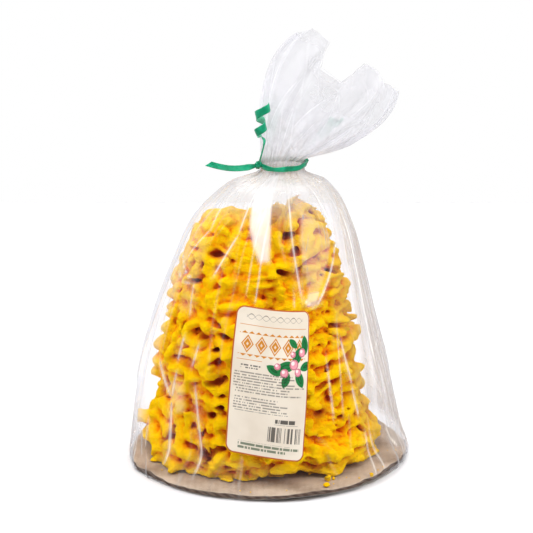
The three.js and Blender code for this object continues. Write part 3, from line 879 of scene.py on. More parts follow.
# %% [markdown]
# ### Skinning the field
# Surface nets turn the field into a mesh: every grid cell that the surface passes through gets one point,
# at the middle of where the surface cuts its edges, and every cut edge gets one quad from the four cells
# around it. It gives even, closed meshes, and it takes a few array operations.

# %% Surface nets
def surface_net(field, low, step):
    inside = field < 0
    corners = [np.array([i, j, k]) for i in (0, 1) for j in (0, 1) for k in (0, 1)]
    shape = np.array(field.shape) - 1

    def shifted(grid, corner):
        return grid[tuple(slice(c, c + n) for c, n in zip(corner, shape))]

    filled = sum(shifted(inside, corner).astype(np.int8) for corner in corners)
    cells = np.nonzero((filled > 0) & (filled < 8))
    place = np.stack(cells, 1)
    values = [field[tuple((place + corner).T)] for corner in corners]
    total = np.zeros((len(place), 3))
    cuts = np.zeros(len(place))
    for a in range(8):
        for b in range(a + 1, 8):
            if np.abs(corners[a] - corners[b]).sum() != 1:
                continue
            cut = (values[a] < 0) != (values[b] < 0)
            share = np.where(cut, values[a] / np.where(cut, values[a] - values[b], 1), 0)
            total += np.where(cut[:, None], corners[a] + share[:, None] * (corners[b] - corners[a]), 0)
            cuts += cut
    points = low + step * (place + total / cuts[:, None])
    number = np.full(shape, -1, np.int64)
    number[cells] = np.arange(len(place))
    quads = []
    for axis in range(3):
        one, two = [k for k in range(3) if k != axis]
        before = [slice(0, -1)] * 3
        after = [slice(0, -1)] * 3
        after[axis] = slice(1, None)
        change = inside[tuple(before)].astype(np.int8) - inside[tuple(after)]
        crossing = np.stack(np.nonzero(change), 1)
        crossing = crossing[(crossing[:, one] > 0) & (crossing[:, two] > 0)]
        sign = change[tuple(crossing.T)]
        around = []
        for step_one, step_two in [(1, 1), (0, 1), (0, 0), (1, 0)]:
            cell = crossing.copy()
            cell[:, one] -= step_one
            cell[:, two] -= step_two
            around.append(number[tuple(cell.T)])
        quad = np.stack(around, 1)
        outward = (sign > 0) != (axis == 1)
        quads.append(np.where(outward[:, None], quad, quad[:, ::-1]))
    return points, np.concatenate(quads)


cake_points, cake_quads = surface_net(field, GRID_LOW, STEP)
print("cake points:", len(cake_points), "quads:", len(cake_quads))

# %% The cake as one mesh
MOST_TRIANGLES = 190_000


def largest_part(points, quads):
    """Keeps the one connected body, without specks that float free of it."""
    group = np.arange(len(points))
    while True:
        lowest = group[quads].min(1)
        spread = group.copy()
        np.minimum.at(spread, quads.ravel(), np.repeat(lowest, 4))
        spread = spread[spread]
        if np.array_equal(spread, group):
            break
        group = spread
    names, sizes = np.unique(group, return_counts=True)
    kept = group == names[sizes.argmax()]
    new_number = np.cumsum(kept) - 1
    return points[kept], new_number[quads[kept[quads[:, 0]]]]


def fewer_triangles(piece, most):
    """Merges edges where the surface is flat, until the mesh is small enough."""
    reduce = piece.modifiers.new("reduce", "DECIMATE")
    reduce.ratio = min(1, most / count_triangles(piece))
    evaluated = piece.evaluated_get(bpy.context.evaluated_depsgraph_get())
    mesh = bpy.data.meshes.new_from_object(evaluated)
    piece.modifiers.clear()
    piece.data = mesh
    mesh.shade_smooth()


cake = mesh_object("tree_cake", *largest_part(cake_points, cake_quads))
print("cake triangles before:", count_triangles(cake))
fewer_triangles(cake, MOST_TRIANGLES)
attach(cake, "root")
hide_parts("cake")
print("cake triangles:", count_triangles(cake))

# %% [markdown]
# ### Where the shade is painted
# What is deep between the branches gets another colour than what sticks out: painted shade. How deep a
# point lies is how full of cake its neighbourhood is: the filled grid is blurred and read back at each
# vertex, once for what is near and once for what is further off. The toasted spots and the gaps are kept the
# same way.

# %% Depth for each vertex
def blurred(grid, reach):
    """A box blur of a grid, by running sums."""
    for axis in range(3):
        total = np.cumsum(grid, axis=axis, dtype=np.float64)
        size = grid.shape[axis]
        high = np.minimum(np.arange(size) + reach, size - 1)
        low = np.maximum(np.arange(size) - reach - 1, 0)
        grid = ((total.take(high, axis) - total.take(low, axis)) / (2 * reach + 1)).astype(np.float32)
    return grid


def depth_at(piece, reach):
    full = blurred(blurred((field < 0).astype(np.float32), reach), reach)
    cell = np.round((places_of(piece) - GRID_LOW) / STEP).astype(int)
    return full[tuple(np.clip(cell, 0, np.array(field.shape) - 1).T)]


def near_spots(piece, spots):
    """How near each vertex is to a list of spots: their turn, height, inset, size, flatness and strength."""
    place = places_of(piece)
    total = np.zeros(len(place))
    for degrees, z, inset, size, flatness, strength in spots:
        turn = math.radians(degrees)
        spot = at_turn(turn, cake_side(turn, z) - inset, z)
        away = np.linalg.norm((place - spot) / np.array([1, 1, flatness]), axis=1)
        total = np.maximum(total, strength * (1 - ease(away, 0.2 * size, 1.1 * size)))
    return total


toasted_spots = [(degrees, z, 5, size, 0.7, strength) for degrees, z, size, strength in TOASTED]
gap_spots = [(degrees, z, 12, 2 * wide, tall / wide, 1) for degrees, z, wide, tall in GAPS]
for name, values in [
    ("near_depth", depth_at(cake, 2)), ("wide_depth", depth_at(cake, 5)),
    ("toasted", near_spots(cake, toasted_spots)), ("gap", near_spots(cake, gap_spots)),
]:
    store(cake, name, values)
    print(name, "at 5, 50 and 95 %:", np.percentile(values, [5, 50, 95]).round(2))

# %% [markdown]
# ### Set batter
# The crust is a strong egg yellow where it sticks out. A ramp over the depth turns it orange to red-brown
# deep between the branches and under them, which is painted shade. It is toasted in spots, the ones
# listed, with noise for their edges, and a few more where noise is high in the deeper parts. A little
# light passes through the crust, and fine pores and wrinkles are a bump.

# %% Cake finish
def cake_finish():
    finish, tree = new_finish("set_batter")
    place = tree.node("TexCoord", {}, output="Object")
    patches = noise(place, 55, Detail=3, Roughness=0.55)
    mottle = noise(place, 240, Detail=4, Roughness=0.6)
    pores = noise(place, 900, Detail=3, Roughness=0.6)
    # painted shade: facing down and lying deep move the colour along the ramp to orange and red-brown
    under = rising(part_of(tree.node("NewGeometry", {}, output="Normal"), "Z") * -1, -0.1, 0.9)
    near, wide = stored(tree, "near_depth"), stored(tree, "wide_depth")
    depth = near * 1.05 + wide * 0.56 + (patches - 0.5) * 0.3 + (mottle - 0.5) * 0.16
    depth = depth + under * 0.12 - 0.03
    stops = [(0.48, srgb(255, 206, 0)), (0.65, srgb(255, 189, 0)), (0.78, srgb(250, 152, 0)),
             (0.9, srgb(226, 102, 4)), (1.0, srgb(182, 64, 12))]
    crust_and_shade = place.node("ValToRGB", {"Fac": depth * 0.8}, stops=stops)

    spots = noise(place, 30, Detail=2, Roughness=0.5)
    scattered = rising(spots + (mottle - 0.5) * 0.25, 0.62, 0.74) * rising(depth, 0.55, 0.9) * 0.6
    chosen = stored(tree, "toasted") * rising(mottle + (patches - 0.5) * 0.8, 0.3, 0.6)
    colour = mixed(larger(scattered, chosen) * 0.8, crust_and_shade, srgb(196, 62, 10))
    # painted shade: the listed gaps turn red-brown round their mouths
    colour = mixed(stored(tree, "gap") * 0.85, colour, srgb(178, 80, 26))

    flat = place.node("VectorMath", {0: place, 1: (1, 1, 2.2)}, operation="MULTIPLY")
    wrinkles = noise(flat, 210, Detail=4, Roughness=0.65, Distortion=0.6)
    relief = tree.node("Bump", {"Strength": 1.0, "Distance": 2 * MM, "Height": wrinkles + pores * 0.22})
    crust_inputs = {
        "Base Color": colour,
        "Roughness": 0.5 + 0.2 * mottle,
        "Normal": relief,
        "Subsurface Weight": 0.08,
        "Subsurface Radius": (3.5 * MM, 1 * MM, 0.2 * MM),
        "Specular IOR Level": 0.02,
    }
    finish_with(tree, tree.node("BsdfPrincipled", crust_inputs))
    return finish


batter = cake_finish()
put_on(cake, batter)

# %% [markdown]
# ## Crumbs
# A few crumbs lie on the board in front of the cake, more on the right. Each is a small ball pushed in
# and out by the same lumps as the cake, and all of them are joined into one mesh.

# %% Crumbs on the board
CRUMB_SPOTS = [  # x, y and the size
    (40.6, -68.5, 5.2), (39.2, -83, 3.8), (70.5, -63.5, 3.4), (42, -61.5, 3), (44.5, -66, 2.4),
    (62, -66, 1.4),
]
SMALL_CRUMBS = 20


def crumb_ball():
    """Points and faces of a ball of rings, with one point at each pole."""
    rings, around = 6, 9
    points = [[0, 0, -1]]
    for ring in range(1, rings):
        lat = math.pi * (ring / rings - 0.5)
        for k in range(around):
            turn = 2 * math.pi * (k + 0.5 * (ring % 2)) / around
            points.append([math.cos(lat) * math.cos(turn), math.cos(lat) * math.sin(turn), math.sin(lat)])
    points.append([0, 0, 1])
    faces = []
    for k in range(around):
        after = (k + 1) % around
        faces.append([0, 1 + after, 1 + k])
        top = 1 + (rings - 2) * around
        faces.append([len(points) - 1, top + k, top + after])
        for ring in range(rings - 2):
            a, b = 1 + ring * around + k, 1 + ring * around + after
            faces += [[a, b, b + around], [a, b + around, a + around]]
    return np.array(points), np.array(faces)


def build_crumbs():
    ball, ball_faces = crumb_ball()
    spots = list(CRUMB_SPOTS)
    for i in range(SMALL_CRUMBS):
        turn = math.radians(between(-75, 110, 300 + i)) if i % 3 else 2 * math.pi * chance(500 + i)
        radius = between(82, 92, 700 + i)
        spots.append((radius * math.sin(turn), -radius * math.cos(turn), between(0.5, 1.2, 900 + i)))
    points, faces = [], []
    for i, (x, y, size) in enumerate(spots):
        radius = size / 2
        shape = ball * (1 + 0.28 * lumps(*(ball * 1.3 + i * 5).T, 1.1, 8))[:, None]
        shape = shape * radius * np.array([between(0.8, 1.2, i), between(0.8, 1.2, i + 40), 0.8])
        floor = float(card_top(math.atan2(x, -y), math.hypot(x, y)))
        shape += np.array([x, y, floor - shape[:, 2].min() - 0.15])
        faces.append(ball_faces + len(ball) * i)
        points.append(shape)
    return mesh_object("crumbs", np.concatenate(points), np.concatenate(faces))


crumbs = build_crumbs()
for name, level in [("near_depth", 0.3), ("wide_depth", 0.3), ("toasted", 0), ("gap", 0)]:
    store(crumbs, name, np.full(len(crumbs.data.vertices), level))
put_on(crumbs, batter)
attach(crumbs, "root")
print("crumbs:", len(CRUMB_SPOTS) + SMALL_CRUMBS)

# %% [markdown]
# ## The film
# The bag is thin clear film, pulled tight from the board's rim to the tie, and loose above it. Seen close,
# it is made of long flat facets between sharp creases that run out from the neck. So it is one grid: its
# main shape is the CAD's, and every crease is a long tent, a crest with two flat sides, laid over it along
# its normals. Creases cross each other freely, because their heights are added. The film lies flat behind
# the label, so the label's place comes first.

# %% The label's place
LABEL_WIDTH = 57
LABEL_HEIGHT = 101
LABEL_CORNER = 6
LABEL_MIDDLE = np.array([2.8, -78, 77.4])
LABEL_TURN = math.radians(-22)
LABEL_LEAN = math.radians(6)
LABEL_TILT = math.radians(2.6)
label_out = np.array([math.sin(LABEL_TURN), -math.cos(LABEL_TURN), 0])
label_right = np.array([-label_out[1], label_out[0], 0])
label_up = math.cos(LABEL_LEAN) * np.array([0, 0, 1]) - math.sin(LABEL_LEAN) * label_out


def on_label(point):
    """Millimetres right and up from the label's middle, for points near it."""
    offset = point - LABEL_MIDDLE
    right, up = offset @ label_right, offset @ label_up
    cosine, sine = math.cos(LABEL_TILT), math.sin(LABEL_TILT)
    return right * cosine - up * sine, right * sine + up * cosine


def label_share(point):
    """1 behind the label, falling to 0 within a few millimetres of its edge."""
    right, up = on_label(point)
    past_side = np.maximum(0, abs(right) - LABEL_WIDTH / 2 + 3)
    past_end = np.maximum(0, abs(up) - LABEL_HEIGHT / 2 + 3)
    in_front = point[..., 1] < -20
    return (1 - ease(np.hypot(past_side, past_end), 3, 8)) * in_front


# %% The film's rows
NECK = {"x": 10, "half_width": 15.2, "half_depth": 12.5, "bottom": 207, "top": 213.2}
FAN_HEIGHT = 90
FAN_LEFT_BEND = (-9, 282)
FAN_RIGHT_BEND = (85, 231)
MOUTH_ACROSS = [0, 0.1, 0.22, 0.38, 0.54, 0.72, 0.8, 0.88, 1]
MOUTH_X = [20, 30, 42, 35.3, 50.5, 66.2, 74, 78.5, 88.5]
MOUTH_Z = [299, 303, 294.5, 278, 267.7, 280.5, 274.5, 266, 260.5]
FAN_DEPTH = 9
FILM_OVER_RIM = 0.9
FILM_TURNS = 560
BODY_ROWS = 108
FAN_ROWS = 58
film_turn = np.linspace(-math.pi, math.pi, FILM_TURNS, endpoint=False)


def body_row(z):
    """The film below the neck: the CAD's loop, wrapped round the board's rim at the bottom."""
    radius = film_radius(film_turn, z)
    lift = card_lift(film_turn) * (1 - ease(z, 3.8, 26))
    rim = np.maximum(0, card_radius(film_turn) + FILM_OVER_RIM - radius) * (1 - ease(z, 5, 16))
    reach = radius + rim
    body = np.stack([film_centre(z) + reach * np.sin(film_turn), -reach * np.cos(film_turn), z + lift], 1)
    into_neck = ease(z, 196, NECK["bottom"])
    return blend(body, neck_row(z), into_neck)


def neck_row(z):
    x = NECK["x"] + NECK["half_width"] * np.sin(film_turn)
    y = -NECK["half_depth"] * np.cos(film_turn)
    return np.stack([x, y, np.full(FILM_TURNS, float(z))], 1)


def fan_row(up):
    """The film above the neck, opening into an uneven mouth."""
    side = np.sin(film_turn)
    across = (1 + side) / 2
    start = np.stack([NECK["x"] + NECK["half_width"] * side, np.full(FILM_TURNS, NECK["top"])], 1)
    bend = blend(np.array(FAN_LEFT_BEND), np.array(FAN_RIGHT_BEND), across[:, None])
    end = np.stack([np.interp(across, MOUTH_ACROSS, MOUTH_X), np.interp(across, MOUTH_ACROSS, MOUTH_Z)], 1)
    toward_back = np.minimum(0, np.cos(film_turn))[:, None]
    end = end + toward_back * np.array([1.5, 3.0]) * np.sin(math.pi * across)[:, None]
    line = (1 - up) ** 2 * start + 2 * up * (1 - up) * bend + up ** 2 * end
    depth = blend(NECK["half_depth"], FAN_DEPTH, up) + 4.5 * math.sin(math.pi * up)
    return np.stack([line[:, 0], -np.cos(film_turn) * depth, line[:, 1]], 1)


def tucked_row(radius, height):
    """The film folded under the board's rim."""
    lift = card_lift(film_turn) * near_rim(radius)
    reach = np.minimum(radius, card_radius(film_turn) + FILM_OVER_RIM)
    return np.stack([reach * np.sin(film_turn), -reach * np.cos(film_turn), height + lift], 1)


body_heights = np.concatenate([np.linspace(1, 12, 9), np.linspace(13.5, NECK["top"], BODY_ROWS - 9)])
fan_shares = np.linspace(0, 1, FAN_ROWS + 1)[1:]
film_grid = np.array(
    [tucked_row(90, 0.08), tucked_row(94, 0.1), tucked_row(97.2, 0.14)]
    + [body_row(z) for z in body_heights]
    + [fan_row(up) for up in fan_shares]
)
along_film = np.concatenate([[-9, -5, -2], body_heights, NECK["top"] + fan_shares * FAN_HEIGHT])
print("film grid:", film_grid.shape)

# %% [markdown]
# ### Creases
# A crease is given by where it starts and ends on the flattened film: its turn in degrees and its place
# along the film in millimetres. The ones that show in front are listed one by one. The rest are drawn from
# repeatable chances: long ones that run down from the neck, wide soft facets, short slanting ones, and
# many more in the crumpled part above the tie. Flat panels and the bands beside the front creases are
# kept as a paleness, a painted reflection of the lamps that the film mirrors; the folds at the right
# are kept as well.

# %% Crease lists
FRONT_CREASES = [  # turn and place at one end, then at the other, the half width and the height
    (-30, 200, -26, 172, 1.6, 0.9), (-26, 172, -36, 143, 1.5, 0.9), (-58, 200, -47, 172, 1.4, 0.7),
    (-47, 174, -59, 150, 1.4, 0.7), (-76, 153, -46, 140, 1.5, 0.8), (-46, 140, -43, 116, 1.3, 0.6),
    (-69, 141, -46, 137, 1.3, 0.6), (-44, 104, -46, 86, 1.2, 0.8), (-36, 100, -39, 82, 1.2, 0.7),
    (-56, 86, -48, 60, 1.4, 0.9), (-48, 60, -49, 12, 1.4, 0.9), (-46, 80, -48, 60, 1.3, 0.6),
    (-37, 74, -32, 8, 1.3, 0.8), (-59, 44, -60, 20, 1.3, 0.6), (8, 200, 18, 130, 1.5, 0.8),
    (40, 200, 50, 164, 1.5, 1.0), (50, 164, 45, 157, 1.4, 1.0), (45, 157, 24, 126, 1.5, 1.0),
    (18, 134, 26, 124, 1.3, 0.8), (40, 104, 44, 70, 1.4, 0.8), (44, 70, 46, 48, 1.3, 0.8),
    (48, 38, 49, 2, 1.4, 0.7), (52, 36, 56, 4, 1.3, 0.7), (65, 34, 72, 14, 1.3, 0.6),
]


def chance_creases(count, seed, top, bottom, length, drift, width, height):
    """Creases from repeatable chances; the bounds are (low, high) pairs."""
    dice = np.random.default_rng(seed)
    creases = []
    for _ in range(count):
        turn = dice.uniform(-180, 180)
        start = dice.uniform(bottom, top)
        end = max(bottom - 10, start - dice.uniform(*length))
        end_turn = turn + dice.normal() * drift
        creases.append((turn, start, end_turn, end, dice.uniform(*width), dice.uniform(*height)))
    return creases


BODY_CREASES = [
    FRONT_CREASES,
    chance_creases(42, 11, 205, 90, (40, 170), 5, (0.9, 1.6), (0.1, 0.32)),  # long
    chance_creases(40, 12, 205, 60, (60, 190), 7, (7, 16), (0.3, 0.9)),  # wide facets
    chance_creases(22, 13, 190, 10, (10, 32), 14, (1.0, 1.8), (0.15, 0.4)),  # slanting
    chance_creases(34, 14, 60, 2, (18, 55), 3, (1.0, 1.8), (0.15, 0.45)),  # at the foot
    chance_creases(60, 15, 213, 172, (8, 45), 3, (0.9, 2.2), (0.1, 0.4)),  # at the neck
]
FAN_CREASES = [
    chance_creases(46, 16, 303, 225, (30, 88), 16, (6, 16), (0.8, 2.2)),  # wide facets
    chance_creases(24, 17, 303, 222, (12, 70), 20, (0.9, 2), (0.2, 0.6)),  # sharp
]
print("creases:", sum(map(len, BODY_CREASES + FAN_CREASES)))

# %% Lay the creases over the grid
FLAT_RADIUS = 85  # the radius at which a turn is unrolled to millimetres
BODY_TOP = 216  # body creases are laid up to here along the film, and fan creases down to FAN_FOOT
FAN_FOOT = 205
TIE_HEIGHT = 210
# painted reflection: the film is made paler in these panels, in place of the lamps that it mirrors
REFLECTION_PANELS = [  # the strength, the edge's softness, and the corners as turn and place along the film
    (0.66, 2, [(-36, 206), (-10, 206), (-3, 175), (-1, 157), (-9, 156), (-20, 178)]),
    (0.22, 2, [(19, 191), (30, 182), (48, 173), (39, 152), (31.5, 142), (28.5, 136), (21, 136), (18.5, 155),
               (17, 170)]),
    (0.42, 1.5, [(21, 137), (28.5, 137), (24.5, 126), (19, 128)]),
    (0.24, 2, [(-50, 72), (-43, 72), (-42, 52), (-46, 50)]),
    (0.12, 3, [(-58, 168), (-46, 168), (-42, 120), (-50, 120)]),
]


def panel_share(turns, along):
    """How far inside the painted reflection panels each point is; a panel is a convex outline on the
    flattened film.
    """
    per_degree = math.radians(1) * FLAT_RADIUS * 0.7
    total = 0
    for strength, softness, outline in REFLECTION_PANELS:
        corners = np.array(outline) * np.array([per_degree, 1])
        inside = np.inf
        for (ax, ay), (bx, by) in zip(corners, np.roll(corners, -1, axis=0)):
            length = math.hypot(bx - ax, by - ay)
            from_edge = ((along - ay) * (bx - ax) - (turns * per_degree - ax) * (by - ay)) / length
            inside = np.minimum(inside, -from_edge)
        total = np.maximum(total, strength * ease(inside, -softness, softness))
    return total


def crease_heights(creases, rows, crest_width=0.8):
    """The summed tents of a list of creases, and how close each point is to a sharp crest."""
    turns = np.degrees(film_turn)[None, :]
    along = along_film[rows][:, None]
    height = np.zeros((along.shape[0], FILM_TURNS))
    crest = np.zeros_like(height)
    per_degree = math.radians(1) * FLAT_RADIUS
    for k, (turn_a, start, turn_b, end, width, tall) in enumerate(creases):
        across = ((turns - turn_a + 180) % 360 - 180) * per_degree
        run = np.array([(turn_b - turn_a) * per_degree, end - start])
        length = np.hypot(*run)
        run = run / length
        down = across * run[0] + (along - start) * run[1]
        aside = across * run[1] - (along - start) * run[0]
        share = np.clip(down / length, 0, 1)
        past_end = down - share * length
        envelope = np.clip(np.minimum(share, 1 - share) * 6 + 0.12, 0, 1) * (np.abs(past_end) < 1.5)
        tent = np.clip(1 - np.abs(aside) / width, 0, 1) * envelope
        height += tall * tent * (1 if k % 2 else -1)
        line = np.exp(-((aside / crest_width) ** 2)) * envelope * np.clip(tall * 1.1 - 0.15, 0, 1)
        np.maximum(crest, line, out=crest)
    return height, crest


def pleat_wave(turn, waves, seed):
    """An uneven zigzag of -1 to 1 around the neck."""
    drifting = turn * waves / (2 * math.pi) + 0.35 * np.sin(2 * turn + seed)
    drifting = drifting + 0.22 * np.sin(5 * turn + 2 * seed)
    return 4 * np.abs(drifting - np.floor(drifting) - 0.5) - 1


def crumple(grid):
    """Moves the film's points along its normals, and returns the new grid and its crest lines."""
    height = np.zeros(grid.shape[:2])
    crest = np.zeros(grid.shape[:2])
    for kinds, rows in [(BODY_CREASES, along_film < BODY_TOP), (FAN_CREASES, along_film > FAN_FOOT)]:
        for creases in kinds:
            added, lines = crease_heights(creases, rows)
            height[rows] += added
            crest[rows] = np.maximum(crest[rows], lines)
    along = along_film[:, None]
    turn = film_turn[None, :]
    near_neck = np.exp(-(((along - TIE_HEIGHT) / 16) ** 2))
    above = ease(along, NECK["top"], NECK["top"] + 25)
    zigzag = 0.6 * pleat_wave(turn, 23, 1) + 0.4 * pleat_wave(turn, 41, 2)
    slow_zigzag = 0.7 * pleat_wave(turn + 0.002 * (along - 213), 11, 3) + 0.3 * pleat_wave(turn, 19, 4)
    pleats = near_neck * 0.8 * (zigzag - 0.75) + above * 2.0 * slow_zigzag
    pleats = pleats + ease(along, 150, 200) * (1 - above) * 0.45 * pleat_wave(turn, 29, 6) * (1 - near_neck)
    at_foot = ease(along, -6, 6) * (1 - ease(along, 14, 40))
    gathers = 0.6 * pleat_wave(turn + 0.0015 * along, 37, 5) + 0.4 * pleat_wave(turn, 61, 8)
    pleats = pleats + at_foot * (0.5 + 0.5 * np.sin(5 * turn + 1)) * 1.1 * gathers
    flat_zone = label_share(grid)
    at_rim = ease(along, -1, 12)
    room = np.clip(np.hypot(grid[..., 0] - 10 * ease(along, 150, 213), grid[..., 1]) / FLAT_RADIUS, 0.3, 1)
    in_band = np.exp(-(((along - TIE_HEIGHT) / 4) ** 2))
    height = height * room * (1 - flat_zone) * (0.25 + 0.75 * at_rim) * (1 - 0.8 * in_band) + pleats
    height = height + 0.5 * flat_zone
    moved = grid + grid_normals(grid, joined=True) * height[..., None]
    moved[..., 2] = np.maximum(moved[..., 2], 0.05)
    return moved, crest * (1 - flat_zone)


def painted_reflection_share(grid):
    """The painted reflection: bands beside the creases in front, and the reflection panels."""
    body = along_film < BODY_TOP
    pale = panel_share(np.degrees(film_turn)[None, :], along_film[:, None])
    _, beside = crease_heights(FRONT_CREASES, body, crest_width=3.2)
    pale[body] = np.maximum(pale[body], 0.15 * beside)
    return pale * (1 - label_share(grid))


def folded_share():
    """How much film lies in folds at the right, where it looks grey."""
    degrees = np.degrees(film_turn)[None, :]
    along = along_film[:, None]
    lean = 0.06 * (along - 100)
    on_the_right = ease(degrees + lean, 56, 72) * (1 - ease(degrees + lean, 110, 142))
    streaks = 0.85 + 0.4 * pleat_wave(film_turn[None, :] + 0.001 * along, 47, 9)
    return 0.5 * on_the_right * streaks * ease(along, 4, 20) * (1 - ease(along, 170, 200))


film_points, film_crest = crumple(film_grid)
film = mesh_object("film", film_points.reshape(-1, 3), grid_faces(len(film_points), FILM_TURNS, joined=True))
store(film, "crest", film_crest)
store(film, "pale", painted_reflection_share(film_grid))
store(film, "folded", folded_share())
store(film, "along", np.repeat(along_film, FILM_TURNS))
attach(film, "root")
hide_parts("bag")
print("film triangles:", count_triangles(film))

# %% [markdown]
# ### Clear film
# Clear film shows by what it mirrors, and more at a slant than face on. So it is mostly transparent, with
# a mirror mixed in by Layer Weight, which blurs towards the foot, where fine gathers break it up. Where
# film is creased, doubled or crowded, and on the painted panels, it turns milky, which is a share of a pale
# coat: cream white on the crests, partly real whitening and partly painted highlight, cream white on the
# panels as painted reflection, cool white in the loose part above, and greyer round the neck and in the folds
# at the right, where light is lost between the layers.

# %% Film finish
def film_haze(tree, clouds, soft, dust):
    """How milky the film is, and its colour there, with painted highlights on the crests and panels."""
    crest, pale, folded = [stored(tree, name) for name in ("crest", "pale", "folded")]
    along = stored(tree, "along")
    near_neck = rising(along, 174, 203) * (1 - rising(along, 222, 275))
    above = rising(along, 210, 218)
    milky = near_neck * rising(clouds, 0.1, 0.7) * 0.66 + above * (0.16 + 0.22 * rising(soft, 0.35, 0.65))
    # crests: partly real whitening and partly painted highlight; panels: painted reflection
    haze = crest * (0.34 + 0.4 * clouds) * (1 - 0.5 * above) + milky + pale * (0.7 + 0.5 * clouds)
    haze = haze + 0.003 * dust + folded * (0.6 + 0.8 * clouds)
    dome = mixed(clouds, srgb(190, 187, 187), srgb(206, 203, 202))
    fan = mixed(soft, srgb(230, 229, 234), srgb(244, 243, 246))
    crowded = mixed(folded * 2, mixed(above, dome, fan), srgb(190, 182, 174))
    # painted highlight: the crests and panels turn cream white
    painted_highlight = larger(crest, pale) * (1 - near_neck) * (1 - above)
    return haze, mixed(rising(painted_highlight, 0, 0.4), crowded, srgb(246, 241, 232))


def film_finish():
    finish, tree = new_finish("clear_film")
    place = tree.node("TexCoord", {}, output="Object")
    clouds = noise(place, 45, Detail=4, Roughness=0.6)
    dust = noise(place, 260, Detail=3, Roughness=0.6)
    soft = noise(place, 32, Detail=1)
    haze, haze_colour = film_haze(tree, clouds, soft, dust)
    slant = tree.node("LayerWeight", {"Blend": 0.5}, output="Facing")
    blur = 0.07 + 0.4 * (1 - rising(stored(tree, "along"), 18, 44))
    clear = tree.node("BsdfTransparent", {"Color": (0.975, 0.975, 0.98, 1)})
    mirror = tree.node("BsdfGlossy", {"Color": (1, 1, 1, 1), "Roughness": blur})
    bare_film = tree.node("MixShader", {0: 0.06 + 0.94 * slant ** 4.5, 1: clear, 2: mirror})
    milk = tree.node("BsdfPrincipled", {"Base Color": haze_colour, "Roughness": 0.35})
    finish_with(tree, tree.node("MixShader", {0: smaller(haze, 0.85), 1: bare_film, 2: milk}))
    return finish


put_on(film, film_finish())
bpy.context.scene.cycles.transparent_max_bounces = 40  # light passes many layers in the loose part

# %% [markdown]
# ## The label
# The label is coated paper stuck on the film, with rounded corners. It follows the film's curve. Its mesh
# is a grid laid on the film and closed into a thin sheet. Its UV is each point's share of the label's
# whole width and height, also at the rounded corners, so that what is printed keeps its shape.

# %% The label's sheet
LABEL_STAND_OFF = 1.1
LABEL_THICKNESS = 0.25
LABEL_COLUMNS = 44
LABEL_ROWS = 78


def label_point(across, up, gap):
    cosine, sine = math.cos(LABEL_TILT), math.sin(LABEL_TILT)
    flat = LABEL_MIDDLE + label_right * (across * cosine + up * sine)
    flat = flat + label_up * (up * cosine - across * sine)
    centre = float(film_centre(flat[2]))
    turn = math.atan2(flat[0] - centre, -flat[1])
    radius = float(film_radius(turn, flat[2]))
    on_film = np.array([centre + radius * math.sin(turn), -radius * math.cos(turn), flat[2]])
    return on_film + label_out * gap


def build_label():
    """The sheet, and where each of its points is in shares of the label's width and height."""
    grid = np.zeros((LABEL_ROWS + 1, LABEL_COLUMNS + 1, 3))
    shares = np.zeros((LABEL_ROWS + 1, LABEL_COLUMNS + 1, 2))
    for row in range(LABEL_ROWS + 1):
        up = LABEL_HEIGHT / 2 * math.sin((row / LABEL_ROWS - 0.5) * math.pi)
        into_corner = max(0, abs(up) - (LABEL_HEIGHT / 2 - LABEL_CORNER))
        cut = LABEL_CORNER - math.sqrt(max(0, LABEL_CORNER ** 2 - into_corner ** 2))
        for column in range(LABEL_COLUMNS + 1):
            across = (column / LABEL_COLUMNS - 0.5) * (LABEL_WIDTH - 2 * cut)
            wave = 0.12 * math.sin(0.16 * up + 0.05 * across) + 0.08 * math.sin(0.21 * across + 0.07 * up)
            grid[row, column] = label_point(across, up, LABEL_STAND_OFF + LABEL_THICKNESS + wave)
            shares[row, column] = across / LABEL_WIDTH + 0.5, up / LABEL_HEIGHT + 0.5
    return thin_sheet("paper_label", grid, LABEL_THICKNESS), shares


def lay_print(piece, shares):
    """Gives both sides of the sheet the shares as its UV."""
    both_sides = np.tile(shares.reshape(-1, 2), (2, 1))
    corner = np.zeros(len(piece.data.loops), np.int32)
    piece.data.loops.foreach_get("vertex_index", corner)
    piece.data.uv_layers["UVMap"].uv.foreach_set("vector", both_sides[corner].astype(np.float32).ravel())


paper, paper_shares = build_label()
lay_print(paper, paper_shares)
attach(paper, "root")
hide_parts("label")
print("label triangles:", count_triangles(paper))

# %% [markdown]
# ### The label's print
# The print is plain shapes in the colours of such labels: a thin ornament and ochre rules above a band of
# ochre lozenges, a sprig of pointed leaves with round berries, rows of grey dashes, upright bars and green
# dashes at the foot. A brown line round the edge is painted shadow, the shadow that the label casts at its
# edge. Each shape is a distance in millimetres on the paper, turned into a mask with a soft edge, and the
# masks mix the inks over the cream paper one after another. The back is plain paper.

# %% Shapes on paper
INK_EDGE = 0.12  # how softly an ink's edge fades, in mm


def inked(distance):
    """A mask that is 1 inside a shape, from its signed distance in mm."""
    return 1 - rising(distance, -INK_EDGE, INK_EDGE)


def box_shape(x, y, middle, half):
    return larger(abs(x - middle[0]) - half[0], abs(y - middle[1]) - half[1])


def round_shape(x, y, middle, radius):
    return ((x - middle[0]) ** 2 + (y - middle[1]) ** 2) ** 0.5 - radius


def leaf_shape(x, y, middle, degrees, length, width):
    """A pointed oval: where two large circles overlap."""
    cosine, sine = math.cos(math.radians(degrees)), math.sin(math.radians(degrees))
    along = (x - middle[0]) * cosine + (y - middle[1]) * sine
    across = (y - middle[1]) * cosine - (x - middle[0]) * sine
    half, side = length / 2, width / 2
    bow = (half * half - side * side) / (2 * side)
    circle = (along ** 2 + (abs(across) + bow) ** 2) ** 0.5
    return circle - (bow + side)


